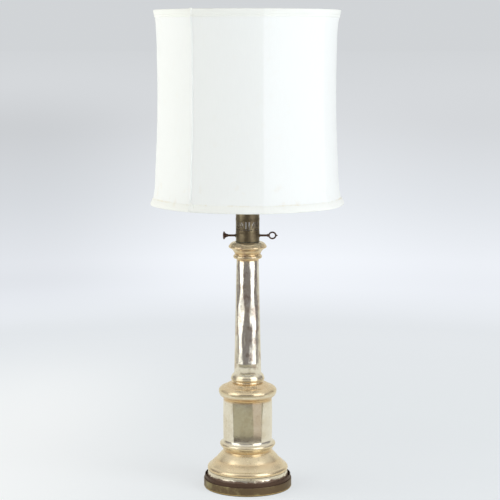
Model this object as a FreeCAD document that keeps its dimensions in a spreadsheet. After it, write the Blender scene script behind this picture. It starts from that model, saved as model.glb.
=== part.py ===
"""Table lamp: silvered glass column, bronze base ring, oil-burner collar with two keys, waisted drum shade.

Frame: millimetres, +Z up, origin at the centre of the underside, front towards -Y, keys along X.
Every length that can be chosen by itself is one cell of the sheet "sizes".  A formula is a text of sizes
joined by + and -, so that the same text gives a number here and an expression in the document.
"""
import FreeCAD, Part
import math
import os
import Sketcher

V = FreeCAD.Vector
UP = V(0, 0, 1)

# Fullness of an arc: its rise as a share of its chord.  Plus swells out of the solid, minus hollows it.
STRAIGHT = 0.0
ROUND = (1 - math.cos(math.pi / 4)) / math.sqrt(2)      # quarter round
COVE = -ROUND                                           # quarter hollow

# Mouldings of the blown glass's foot, which spreads to fill the ring: name, rise, how far the top of the
# moulding draws in from the one below, fullness.
FOOT_MOULDINGS = [
    ("skirt", 12.1, 3.5, -0.07),
    ("shoulder", 8.9, 3.2, 0.25),
    ("lower_dome", 8.6, 9.2, 0.03),
    ("dome_step", 1.0, 0.8, STRAIGHT),
    ("upper_dome", 11.8, 10.8, 0.03),
]

# Mouldings of the glass above its foot: name, rise, radius at the top of the moulding, fullness.
GLASS_MOULDINGS = [
    ("foot_neck", 2.4, 38.8, -0.25),
    ("bead_flare", 6.6, 42.8, -0.06),
    ("foot_bead", 5.2, 42.8, 0.22),
    ("bead_cove", 5.2, 38.4, -0.15),
    ("pedestal", 64.6, 38.3, 0.006),
    ("cornice_cove", 4.2, 40.6, -0.15),
    ("cornice_throat", 3.2, 44.2, 0.1),
    ("cornice", 7.8, 45.5, 0.09),
    ("cornice_roll", 6.0, 36.0, 0.135),
    ("cornice_step", 1.0, 34.6, STRAIGHT),
    ("cornice_dome", 5.0, 25.0, 0.06),
    ("column_plinth", 2.6, 24.4, -0.1),
    ("column_bead", 5.6, 24.2, 0.42),
    ("column_cove", 7.4, 21.2, -0.1),
    ("column", 177.0, 17.4, STRAIGHT),
    ("collar_cove", 3.4, 18.6, -0.2),
    ("collar_bead", 6.2, 20.8, 0.42),
    ("collar_groove", 3.2, 20.9, -0.2),
    ("capital_cove", 7.2, 27.6, -0.09),
    ("capital_edge", 4.4, 28.7, 0.37),
    ("capital_top", 5.6, 18.9, 0.16),
]

# Places where the plain cavity inside the glass turns, each named after the moulding whose top it follows.
CAVITY_TURNS = ["skirt", "shoulder", "upper_dome", "bead_cove", "pedestal", "column_cove", "column"]

# Stations of the shade cover from its upper edge down: name, drop from the station above, radius at the
# ribs, crown of each panel between two ribs.
SHADE_STATIONS = [
    ("shade_brim", 0.0, 143.6, 8.8),
    ("shade_upper", 20.0, 141.4, 6.6),
    ("shade_breast", 42.0, 139.8, 5.4),
    ("shade_waist", 62.0, 139.2, 5.2),
    ("shade_belly", 68.0, 140.8, 5.2),
    ("shade_lower", 62.0, 143.6, 5.8),
    ("shade_flare", 28.0, 146.2, 7.4),
    ("shade_hem", 15.0, 150.2, 9.2),
]

SIZES = {
    # threaded pipe that ties the lamp together, its nuts and washers
    "pipe_radius": 5.1,
    "pipe_bore_radius": 3.5,
    "pipe_clearance": 0.3,
    "pipe_overhang": 0.8,
    "nut_half_flats": 7.95,
    "nut_thickness": 4.0,
    "washer_radius": 9.2,
    "washer_thickness": 1.2,
    # base
    "felt_thickness": 1.2,
    "felt_inset": 0.8,
    "ring_radius": 69.5,
    "ring_wall": 3.0,
    "band_height": 12.8,
    "band_round": 0.8,
    "rim_step": 1.6,
    "rim_height": 6.0,
    "rim_wall": 1.2,
    "rim_round": 0.7,
    "ledge_depth": 8.0,
    "ledge_thickness": 2.6,
    "plate_clearance": 0.4,
    "plate_thickness": 2.0,
    "bushing_height": 4.2,
    "bushing_bore_radius": 2.8,
    "bushing_wall": 0.7,
    "bushing_fit": 0.1,
    "bushing_flange_width": 1.2,
    "bushing_flange_thickness": 1.6,
    "bushing_tail": 2.0,
    # glass and its gaskets
    "foot_gasket_thickness": 0.8,
    "glass_seat_clearance": 0.4,
    "glass_wall": 3.0,
    "top_gasket_thickness": 0.8,
    "gasket_inset": 0.3,
    "cap_thickness": 2.0,
    "cap_clearance": 0.3,
    "spigot_depth": 6.0,
    "spigot_clearance": 0.4,
    "spigot_wall": 1.6,
    # burner
    "burner_radius": 18.4,
    "burner_wall": 1.0,
    "key_sleeve_height": 14.8,
    "gallery_height": 17.6,
    "upper_sleeve_height": 25.5,
    "burner_bead_height": 1.4,
    "second_bead_height": 2.2,
    "lip_height": 1.8,
    "lip_wall": 0.9,
    "lip_clearance": 0.1,
    "lid_thickness": 1.6,
    "lid_round": 0.8,
    "pole_flat": 0.5,
    "lattice_base": 8.0,
    "lattice_row_rise": 2.4,
    "diamond_half_width": 1.45,
    "diamond_half_height": 1.8,
    "airhole_height": 4.1,
    "airhole_radius": 1.15,
    "slot_half_width": 0.95,
    "slot_turn": 36.0,
    # keys
    "key_axis_height": 8.8,
    "key_shaft_radius": 1.7,
    "key_fit": 0.08,
    "key_tail": 1.2,
    "bush_wall": 1.1,
    "bush_inner_length": 3.0,
    "bush_outer_length": 0.9,
    "collar_wall": 1.6,
    "collar_length": 2.2,
    "collar_play": 0.4,
    "knob_start": 30.6,
    "knob_bore_depth": 4.0,
    "knob_length": 7.4,
    "knob_radius": 5.6,
    "knob_neck_radius": 2.3,
    "knob_rim": 2.2,
    "knob_face_rise": 0.7,
    "bow_start": 30.8,
    "bow_radius": 5.2,
    "bow_wire_radius": 1.25,
    "bow_point_radius": 3.4,
    "bow_point_length": 2.6,
    "bow_point_tip_radius": 0.6,
    "bow_collar_radius": 2.5,
    "bow_bore_depth": 1.2,
    "bow_web": 0.2,
    "bow_turn": 12.0,
    # harp
    "saddle_reach": 28.5,
    "saddle_half_width": 6.0,
    "saddle_half_thickness": 0.8,
    "saddle_rise": 11.0,
    "saddle_bend": 4.0,
    "pin_height": 10.0,
    "harp_wire_radius": 1.6,
    "harp_height": 252.5,
    "harp_leg": 32.0,
    "harp_half_width": 54.0,
    "harp_widest": 128.0,
    "harp_shoulder_half_width": 44.0,
    "harp_shoulder_drop": 44.0,
    "harp_crown_half_width": 18.0,
    "harp_leg_bend": 34.0,
    "harp_side_bend": 130.0,
    "harp_shoulder_bend": 100.0,
    "harp_crown_bend": 22.0,
    "sleeve_length": 16.0,
    "sleeve_fit": 0.08,
    "sleeve_wall": 1.5,
    "stud_disc_radius": 9.5,
    "stud_disc_thickness": 2.0,
    "stud_saddle_radius": 4.4,
    "stud_saddle_drop": 2.6,
    "stud_web": 0.5,
    "stud_radius": 3.1,
    "stud_length": 11.0,
    # socket
    "socket_gap": 0.6,
    "socket_neck_radius": 8.5,
    "socket_neck_height": 5.0,
    "socket_bell_height": 8.0,
    "socket_floor": 12.6,
    "socket_cup_height": 17.0,
    "socket_radius": 17.0,
    "socket_wall": 0.6,
    "socket_fit": 0.15,
    "socket_height": 50.0,
    "liner_wall": 0.7,
    "block_height": 17.4,
    "shell_thread_radius": 13.4,
    "thread_wall": 0.5,
    "contact_radius": 3.0,
    "contact_height": 1.6,
    "pipe_grip": 7.0,
    "switch_height": 21.5,
    "switch_shaft_radius": 2.0,
    "switch_fit": 0.1,
    "switch_inner": 6.0,
    "switch_window": 0.5,
    "switch_knob_start": 19.0,
    "switch_knob_stem": 3.6,
    "switch_knob_radius": 3.4,
    "switch_paddle_length": 9.0,
    "switch_paddle_half_width": 5.0,
    "switch_paddle_thickness": 3.0,
    # bulb
    "bulb_screw_radius": 12.9,
    "bulb_screw_wall": 0.5,
    "bulb_screw_height": 19.0,
    "bulb_tip_radius": 5.0,
    "bulb_tip_height": 4.0,
    "bulb_floor": 1.2,
    "bulb_neck_radius": 12.2,
    "bulb_neck_sink": 14.0,
    "bulb_neck_height": 3.0,
    "bulb_throat_radius": 17.5,
    "bulb_throat_height": 15.0,
    "bulb_waist_height": 24.0,
    "bulb_radius": 30.0,
    "bulb_glass_wall": 0.8,
    # shade
    "cover_thickness": 0.9,
    "shade_wire_radius": 1.6,
    "rib_wire_radius": 1.3,
    "rib_gap": 0.6,
    "rib_bend": 80.0,
    "lining_gap": 0.4,
    "lining_notch": 0.6,
    "lining_thickness": 0.6,
    "trim_thickness": 0.8,
    "trim_height": 10.2,
    "trim_fold": 0.9,
    "first_rib_turn": 9.5,
    "spider_drop": 38.2,
    "spider_washer_radius": 11.0,
    "spider_half_thickness": 0.8,
    "spider_hole_clearance": 0.3,
    "spider_bend": 16.0,
    "spider_foot": 30.0,
    # finial
    "finial_fit": 0.08,
    "finial_gap": 0.2,
    "finial_base_radius": 7.5,
    "finial_base_height": 2.4,
    "finial_neck_radius": 4.7,
    "finial_neck_height": 3.0,
    "finial_urn_radius": 6.4,
    "finial_urn_height": 9.0,
    "finial_throat_radius": 2.6,
    "finial_throat_height": 3.0,
    "finial_tip_radius": 3.0,
    "finial_bore_play": 0.6,
}
for _name, _rise, _draw, _fullness in FOOT_MOULDINGS:
    SIZES[_name + "_rise"] = _rise
    SIZES[_name + "_draw"] = _draw
for _name, _rise, _radius, _fullness in GLASS_MOULDINGS:
    SIZES[_name + "_rise"] = _rise
    SIZES[_name + "_radius"] = _radius
for _name, _drop, _radius, _crown in SHADE_STATIONS:
    SIZES[_name + "_drop"] = _drop
    SIZES[_name + "_radius"] = _radius
    SIZES[_name + "_crown"] = _crown

PANELS = 8              # cloth panels of the shade, one rib at each seam
SPIDER_ARMS = 3
LATTICE_PANELS = 4      # lattice panels round the burner
LATTICE_ROWS = 4
LATTICE_COLUMNS = 4     # columns in the fuller rows of a lattice panel
AIRHOLES_PER_PANEL = 7

doc = FreeCAD.newDocument("candlestick_lamp")
sheet = doc.addObject("Spreadsheet::Sheet", "sizes")
for _row, (_alias, _amount) in enumerate(SIZES.items(), start=1):
    sheet.set("A%d" % _row, _alias)
    sheet.set("B%d" % _row, str(_amount))
    sheet.setAlias("B%d" % _row, _alias)
doc.recompute()


# ---------------------------------------------------------------- formulas

def amount(formula):
    """The number that a formula of sizes gives now."""
    total = 0.0
    sign = 1.0
    for word in formula.split():
        if word == "+":
            sign = 1.0
        elif word == "-":
            sign = -1.0
        else:
            total += sign * (float(getattr(sheet, word)) if word in SIZES else float(word))
    return total


def bound(formula):
    """The same formula as an expression of the document."""
    return " ".join("sizes." + word if word in SIZES else word for word in formula.split())


def stack(*parts):
    """Formulas added one on another."""
    return " + ".join(parts)


def less(formula, *parts):
    """A formula with others taken off it."""
    for part in parts:
        flipped = part.replace("+", "~").replace("-", "+").replace("~", "-")
        formula = formula + " - " + flipped
    return formula


# Levels up the lamp, each the sum of what lies under it.
BAND_TOP = stack("felt_thickness", "band_height")
LEDGE_UNDER = less(BAND_TOP, "ledge_thickness")
PLATE_UNDER = less(LEDGE_UNDER, "plate_thickness")
RIM_TOP = stack(BAND_TOP, "rim_height")
RIM_OUTER = less("ring_radius", "rim_step")
RIM_INNER = less(RIM_OUTER, "rim_wall")
GLASS_FOOT = less(RIM_INNER, "glass_seat_clearance")
BUSHING_AXIS = stack("felt_thickness", "bushing_height")
BUSHING_BARREL = stack("bushing_bore_radius", "bushing_wall")
GLASS_SEAT = stack(BAND_TOP, "foot_gasket_thickness")
GLASS_TOP = stack(GLASS_SEAT, *[_moulding[0] + "_rise" for _moulding in FOOT_MOULDINGS + GLASS_MOULDINGS])
GLASS_MOUTH = less("column_radius", "glass_wall")
CAP_SEAT = stack(GLASS_TOP, "top_gasket_thickness")
CAP_TOP = stack(CAP_SEAT, "cap_thickness")
KEY_AXIS = stack(CAP_SEAT, "key_axis_height")
GALLERY_BASE = stack(CAP_SEAT, "key_sleeve_height")
UPPER_BASE = stack(GALLERY_BASE, "gallery_height")
LID_BASE = stack(UPPER_BASE, "upper_sleeve_height")
LID_TOP = stack(LID_BASE, "lid_thickness")
SADDLE_TOP = stack(LID_TOP, "saddle_half_thickness", "saddle_half_thickness")
SADDLE_NUT = stack(SADDLE_TOP, "washer_thickness")
SOCKET_BASE = stack(SADDLE_NUT, "nut_thickness", "socket_gap")
PIPE_BASE = less(PLATE_UNDER, "washer_thickness", "nut_thickness", "pipe_overhang")
PIPE_TOP = stack(SOCKET_BASE, "pipe_grip")
ARM_TOP = stack(SADDLE_TOP, "saddle_rise")
PIN_TOP = stack(ARM_TOP, "pin_height")
HARP_TOP = stack(LID_TOP, "harp_height")
STUD_DISC = stack(HARP_TOP, "harp_wire_radius", "stud_web")
STUD_SEAT = stack(STUD_DISC, "stud_disc_thickness")
SPIDER_MIDDLE = stack(STUD_SEAT, "spider_half_thickness")
SPIDER_TOP = stack(SPIDER_MIDDLE, "spider_half_thickness")
SHADE_RING = stack(STUD_SEAT, "spider_drop")
COVER_TOP = stack(SHADE_RING, "shade_wire_radius")
PIPE_HOLE = stack("pipe_radius", "pipe_clearance")
BURNER_INNER = less("burner_radius", "burner_wall")
SOCKET_FLOOR = stack(SOCKET_BASE, "socket_floor")
BLOCK_TOP = stack(SOCKET_FLOOR, "block_height")
SOCKET_TOP = stack(SOCKET_BASE, "socket_height")
SWITCH_AXIS = stack(SOCKET_BASE, "switch_height")
BULB_BASE = stack(BLOCK_TOP, "contact_height")
COVER_BOTTOM = less(COVER_TOP, *[_name + "_drop" for _name, _drop, _radius, _crown in SHADE_STATIONS])
RIB_INSET = stack("cover_thickness", "rib_gap", "rib_wire_radius")
RING_INSET = stack(RIB_INSET, "rib_wire_radius", "shade_wire_radius")
LINING_INSET = stack(RING_INSET, "shade_wire_radius", "lining_gap")
LINING_INNER = stack(LINING_INSET, "lining_thickness")
KEY_BORE = stack("key_shaft_radius", "key_fit")
KEY_BARREL = stack("key_shaft_radius", "bush_wall")
BUSH_INNER_END = less(BURNER_INNER, "bush_inner_length")
COLLAR_START = less(BUSH_INNER_END, "collar_play", "collar_length")


# ---------------------------------------------------------------- PartDesign helpers

def new_body(label):
    body = doc.addObject("PartDesign::Body", label)
    body.Label = label
    return body


def origin_plane(body, role):
    return next(item for item in body.Origin.OriginFeatures if item.Role == role)


def new_sketch(body, name, role):
    sketch = body.newObject("Sketcher::SketchObject", name)
    sketch.AttachmentSupport = [(origin_plane(body, role), "")]
    sketch.MapMode = "FlatFace"
    return sketch


def arc_by_fullness(start, end, fullness):
    """Arc from start to end that swells to the right of the way by fullness times the chord."""
    chord = end - start
    middle = (start + end) * 0.5
    outward = V(chord.y, -chord.x, 0)
    return Part.Arc(start, middle + outward * fullness, end).toShape().Curve


def add_outline(sketch, corners):
    """Closed outline.  A corner is (across, up, fullness of the stretch that arrives there)."""
    spots = [V(amount(across), amount(up), 0) for across, up, fullness in corners]
    first = sketch.GeometryCount
    edges = []
    ends = []           # point numbers of each edge's start and end along the outline
    rules = []
    formulas = []
    for k, (across, up, fullness) in enumerate(corners):
        start, end = spots[k - 1], spots[k]
        if fullness == STRAIGHT:
            edges.append(Part.LineSegment(start, end))
            ends.append((1, 2))
            continue
        swell = arc_by_fullness(start, end, fullness)
        centre = swell.Center
        lead, trail = (start, end) if fullness > 0 else (end, start)
        begin = math.atan2(lead.y - centre.y, lead.x - centre.x)
        finish = math.atan2(trail.y - centre.y, trail.x - centre.x)
        edges.append(Part.ArcOfCircle(Part.Circle(centre, UP, swell.Radius), begin, finish))
        ends.append((1, 2) if fullness > 0 else (2, 1))
        run = "(%s - (%s))" % (bound(across), bound(corners[k - 1][0]))
        climb = "(%s - (%s))" % (bound(up), bound(corners[k - 1][1]))
        share = (0.25 + fullness * fullness) / (2 * abs(fullness))
        rules.append(Sketcher.Constraint("Radius", first + k, swell.Radius))
        formulas.append("%.6f * sqrt(%s^2 + %s^2)" % (share, run, climb))
    for k, (across, up, fullness) in enumerate(corners):
        tail = ends[k][1]
        follower = (k + 1) % len(corners)
        rules.append(Sketcher.Constraint("Coincident", first + k, tail, first + follower, ends[follower][0]))
        formulas.append(None)
        places_of_corner = (("DistanceX", across, spots[k].x), ("DistanceY", up, spots[k].y))
        for kind, formula, spot in places_of_corner:
            rules.append(Sketcher.Constraint(kind, -1, 1, first + k, tail, spot))
            formulas.append(bound(formula))
    sketch.addGeometry(edges, False)
    places = sketch.addConstraint(rules)
    for place, formula in zip(places, formulas):
        if formula:
            sketch.setExpression("Constraints[%d]" % place, formula)
    return sketch


def revolve(body, corners, name="Profile"):
    """Solid of revolution about the body's own upright axis."""
    sketch = add_outline(new_sketch(body, name, "XZ_Plane"), corners)
    turned = body.newObject("PartDesign::Revolution", name + "Turned")
    turned.Profile = sketch
    turned.ReferenceAxis = (sketch, ["V_Axis"])
    turned.Angle = 360.0
    doc.recompute()
    return turned


def check_cut(body, volume):
    """A cut that misses the solid shows no error, so the volume is compared."""
    if not body.Shape.Volume < volume:
        raise RuntimeError("cut misses the solid in " + body.Label)


def lay(item, axis, along="0", height="0", spin=0.0):
    """Turn an item's own upright axis to lie along X or Y, and set its place by formulas."""
    turns = {
        "+x": FreeCAD.Rotation(V(0, 1, 0), 90),
        "-x": FreeCAD.Rotation(V(0, 1, 0), -90),
        "+y": FreeCAD.Rotation(V(1, 0, 0), -90),
        "-y": FreeCAD.Rotation(V(1, 0, 0), 90),
    }
    rotation = turns[axis].multiply(FreeCAD.Rotation(UP, spin))
    item.Placement = FreeCAD.Placement(V(0, 0, amount(height)), rotation)
    item.setExpression("Placement.Base.z", bound(height))
    way = {"x": "Placement.Base.x", "y": "Placement.Base.y"}[axis[1]]
    sign = "-1" if axis[0] == "-" else "1"
    item.setExpression(way, "%s * (%s)" % (sign, bound(along)))


# ---------------------------------------------------------------- Part helpers

def cylinder(name, radius, height, base="0"):
    item = doc.addObject("Part::Cylinder", name)
    item.setExpression("Radius", bound(radius))
    item.setExpression("Height", bound(height))
    item.setExpression("Placement.Base.z", bound(base))
    return item


def cut(name, base, tool):
    item = doc.addObject("Part::Cut", name)
    item.Base = base
    item.Tool = tool
    return item


def tube(name, outer, inner, height, base="0"):
    """Plain ring or tube on the upright axis."""
    solid = cylinder(name + "_outer", outer, height, base)
    return cut(name, solid, cylinder(name + "_hole", inner, height, base))


def hexagon_nut(name, base):
    prism = doc.addObject("Part::Prism", name + "_hexagon")
    prism.Polygon = 6
    prism.setExpression("Circumradius", bound("nut_half_flats") + " / cos(30)")
    prism.setExpression("Height", bound("nut_thickness"))
    prism.setExpression("Placement.Base.z", bound(base))
    return cut(name, prism, cylinder(name + "_hole", "pipe_radius", "nut_thickness", base))


def group(name, items):
    """Alike loose pieces kept under one name."""
    item = doc.addObject("Part::Compound", name)
    item.Links = items
    return item


def shaped(name, shape):
    item = doc.addObject("Part::Feature", name)
    item.Shape = shape
    return item


def arc_path(points, bends):
    """Wire through points with each inner corner rounded by a tangent arc of the given radius."""
    edges = []
    last = points[0]
    for k in range(1, len(points) - 1):
        arrive = (points[k] - points[k - 1]).normalize()
        leave = (points[k + 1] - points[k]).normalize()
        turn = arrive.getAngle(leave)
        setback = bends[k - 1] * math.tan(turn / 2)
        start = points[k] - arrive * setback
        end = points[k] + leave * setback
        inward = (leave - arrive).normalize()
        middle = points[k] + inward * (bends[k - 1] / math.cos(turn / 2) - bends[k - 1])
        edges.append(Part.LineSegment(last, start).toShape())
        edges.append(Part.Arc(start, middle, end).toShape())
        last = end
    edges.append(Part.LineSegment(last, points[-1]).toShape())
    return Part.Wire(edges)


def wire_along(path, radius):
    """Round wire of the given radius along a path."""
    first = path.OrderedEdges[0]
    start = first.valueAt(first.FirstParameter)
    way = first.tangentAt(first.FirstParameter)
    if (start - path.OrderedVertexes[0].Point).Length > 1e-6:
        start = first.valueAt(first.LastParameter)
        way = first.tangentAt(first.LastParameter) * -1
    section = Part.Wire([Part.Circle(start, way, radius).toShape()])
    return path.makePipeShell([section], True, False)


# ---------------------------------------------------------------- base

def make_felt_pad():
    cylinder("felt_pad", less("ring_radius", "felt_inset"), "felt_thickness")


def make_base_ring():
    body = new_body("base_ring")
    band_inner = less("ring_radius", "ring_wall")
    ledge_inner = less(RIM_INNER, "ledge_depth")
    revolve(body, [
        (band_inner, "felt_thickness", STRAIGHT),
        ("ring_radius", "felt_thickness", STRAIGHT),
        ("ring_radius", less(BAND_TOP, "band_round"), STRAIGHT),
        (less("ring_radius", "band_round"), BAND_TOP, ROUND),
        (RIM_OUTER, BAND_TOP, STRAIGHT),
        (RIM_OUTER, less(RIM_TOP, "rim_round"), STRAIGHT),
        (less(RIM_OUTER, "rim_round"), RIM_TOP, ROUND),
        (RIM_INNER, RIM_TOP, STRAIGHT),
        (RIM_INNER, BAND_TOP, STRAIGHT),
        (ledge_inner, BAND_TOP, STRAIGHT),
        (ledge_inner, LEDGE_UNDER, STRAIGHT),
        (band_inner, LEDGE_UNDER, STRAIGHT),
    ])
    hole = new_sketch(body, "CordHole", "XZ_Plane")
    side_hole(body, hole, stack(BUSHING_BARREL, "bushing_fit"), BUSHING_AXIS, "ring_radius")


def side_hole(body, sketch, radius, height, reach, both_ways=False):
    """Round hole through the wall towards +Y (or along X both ways), at a height on the sketch's plane."""
    circle = sketch.addGeometry(Part.Circle(V(0, amount(height), 0), UP, amount(radius)), False)
    place = sketch.addConstraint(Sketcher.Constraint("Radius", circle, amount(radius)))
    sketch.setExpression("Constraints[%d]" % place, bound(radius))
    sketch.addConstraint(Sketcher.Constraint("PointOnObject", circle, 3, -2))
    place = sketch.addConstraint(Sketcher.Constraint("DistanceY", -1, 1, circle, 3, amount(height)))
    sketch.setExpression("Constraints[%d]" % place, bound(height))
    volume = body.Shape.Volume
    pocket = body.newObject("PartDesign::Pocket", sketch.Name + "Drilled")
    pocket.Profile = sketch
    pocket.Type = "Length"
    pocket.setExpression("Length", bound(reach) + " + 1")
    pocket.Midplane = both_ways
    if both_ways:
        pocket.setExpression("Length", "2 * (" + bound(reach) + ") + 2")
    doc.recompute()
    check_cut(body, volume)
    return pocket


def make_base_plate():
    outer = less("ring_radius", "ring_wall", "plate_clearance")
    tube("base_plate", outer, PIPE_HOLE, "plate_thickness", PLATE_UNDER)


def make_cord_bushing():
    body = new_body("cord_bushing")
    barrel = BUSHING_BARREL
    flange = stack(barrel, "bushing_flange_width")
    tail = less("0", "ring_wall", "bushing_tail")
    revolve(body, [
        ("bushing_bore_radius", tail, STRAIGHT),
        (barrel, tail, STRAIGHT),
        (barrel, "0", STRAIGHT),
        (flange, "0", STRAIGHT),
        (barrel, "bushing_flange_thickness", ROUND),
        ("bushing_bore_radius", "bushing_flange_thickness", STRAIGHT),
    ])
    lay(body, "+y", "ring_radius", BUSHING_AXIS)


# ---------------------------------------------------------------- glass column

def make_glass_body():
    body = new_body("glass_body")
    radius = GLASS_FOOT
    level = GLASS_SEAT
    corners = [(radius, level, STRAIGHT)]
    tops = {}
    for moulding in FOOT_MOULDINGS + GLASS_MOULDINGS:
        name = moulding[0]
        fullness = moulding[3]
        if moulding in FOOT_MOULDINGS:
            radius = less(radius, name + "_draw")
        else:
            radius = name + "_radius"
        level = stack(level, name + "_rise")
        tops[name] = (radius, level)
        corners.append((radius, level, fullness))
    corners.append((GLASS_MOUTH, level, STRAIGHT))
    for name in reversed(CAVITY_TURNS):
        radius, level = tops[name]
        corners.append((less(radius, "glass_wall"), level, STRAIGHT))
    corners.append((less(GLASS_FOOT, "glass_wall"), GLASS_SEAT, STRAIGHT))
    revolve(body, corners)


def make_gaskets_and_cap():
    foot_outer = less(GLASS_FOOT, "gasket_inset")
    foot_inner = less(GLASS_FOOT, "glass_wall")
    tube("foot_gasket", foot_outer, foot_inner, "foot_gasket_thickness", BAND_TOP)
    top_outer = less("capital_top_radius", "gasket_inset")
    tube("top_gasket", top_outer, GLASS_MOUTH, "top_gasket_thickness", GLASS_TOP)
    body = new_body("glass_cap")
    spigot = less(GLASS_MOUTH, "spigot_clearance")
    spigot_end = less(CAP_SEAT, "spigot_depth")
    revolve(body, [
        (PIPE_HOLE, CAP_SEAT, STRAIGHT),
        (less(spigot, "spigot_wall"), CAP_SEAT, STRAIGHT),
        (less(spigot, "spigot_wall"), spigot_end, STRAIGHT),
        (spigot, spigot_end, STRAIGHT),
        (spigot, CAP_SEAT, STRAIGHT),
        (less(BURNER_INNER, "cap_clearance"), CAP_SEAT, STRAIGHT),
        (less(BURNER_INNER, "cap_clearance"), CAP_TOP, STRAIGHT),
        (PIPE_HOLE, CAP_TOP, STRAIGHT),
    ])


def make_pipe_and_fasteners():
    tube("lamp_pipe", "pipe_radius", "pipe_bore_radius", less(PIPE_TOP, PIPE_BASE), PIPE_BASE)
    under_plate = less(PLATE_UNDER, "washer_thickness")
    washer_bases = [under_plate, CAP_TOP, SADDLE_TOP]
    nut_bases = [less(under_plate, "nut_thickness"), stack(CAP_TOP, "washer_thickness"), SADDLE_NUT]
    group("pipe_washers", [tube("washer_%d" % k, "washer_radius", PIPE_HOLE, "washer_thickness", base)
                           for k, base in enumerate(washer_bases)])
    group("pipe_nuts", [hexagon_nut("nut_%d" % k, base) for k, base in enumerate(nut_bases)])


# ---------------------------------------------------------------- burner

def sleeve_corners(base, top, beads, lip_up):
    """Thin sleeve with beads round its outside and, if lip_up, a lip that locates the piece above it."""
    corners = [(BURNER_INNER, base, STRAIGHT), ("burner_radius", base, STRAIGHT)]
    for level in beads:
        if level != base:
            corners.append(("burner_radius", level, STRAIGHT))
        corners.append(("burner_radius", stack(level, "burner_bead_height"), 0.34))
    if amount(stack(beads[-1], "burner_bead_height")) < amount(top) - 1e-6:
        corners.append(("burner_radius", top, STRAIGHT))
    lip_outer = less(BURNER_INNER, "lip_clearance")
    lip_inner = less(lip_outer, "lip_wall")
    if lip_up:
        corners += [
            (lip_outer, top, STRAIGHT),
            (lip_outer, stack(top, "lip_height"), STRAIGHT),
            (lip_inner, stack(top, "lip_height"), STRAIGHT),
            (lip_inner, less(top, "lip_height"), STRAIGHT),
            (BURNER_INNER, less(top, "lip_height", "lip_wall"), STRAIGHT),
        ]
    else:
        corners += [(BURNER_INNER, top, STRAIGHT)]
    return corners


def make_key_sleeve():
    body = new_body("key_sleeve")
    bead = less(GALLERY_BASE, "burner_bead_height")
    revolve(body, sleeve_corners(CAP_SEAT, GALLERY_BASE, [bead], True))
    bush_hole = stack("key_shaft_radius", "key_fit", "bush_wall")
    side_hole(body, new_sketch(body, "KeyHoles", "YZ_Plane"), bush_hole, KEY_AXIS, "burner_radius", True)


def make_upper_sleeve():
    body = new_body("upper_sleeve")
    second = stack(UPPER_BASE, "second_bead_height")
    revolve(body, sleeve_corners(UPPER_BASE, LID_BASE, [UPPER_BASE, second], False))
    lip_outer = less(BURNER_INNER, "lip_clearance")
    revolve(body, [
        (less(lip_outer, "lip_wall"), less(UPPER_BASE, "lip_height"), STRAIGHT),
        (lip_outer, less(UPPER_BASE, "lip_height"), STRAIGHT),
        (lip_outer, UPPER_BASE, STRAIGHT),
        (BURNER_INNER, UPPER_BASE, STRAIGHT),
        (BURNER_INNER, stack(UPPER_BASE, "lip_height"), STRAIGHT),
        (less(lip_outer, "lip_wall"), UPPER_BASE, STRAIGHT),
    ], "LowerLip")


def make_burner_cap():
    body = new_body("burner_cap")
    lip_outer = less(BURNER_INNER, "lip_clearance")
    revolve(body, [
        (PIPE_HOLE, LID_BASE, STRAIGHT),
        (less(lip_outer, "lip_wall"), LID_BASE, STRAIGHT),
        (less(lip_outer, "lip_wall"), less(LID_BASE, "lip_height"), STRAIGHT),
        (lip_outer, less(LID_BASE, "lip_height"), STRAIGHT),
        (lip_outer, LID_BASE, STRAIGHT),
        ("burner_radius", LID_BASE, STRAIGHT),
        ("burner_radius", less(LID_TOP, "lid_round"), STRAIGHT),
        (less("burner_radius", "lid_round"), LID_TOP, ROUND),
        (PIPE_HOLE, LID_TOP, STRAIGHT),
    ])


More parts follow.
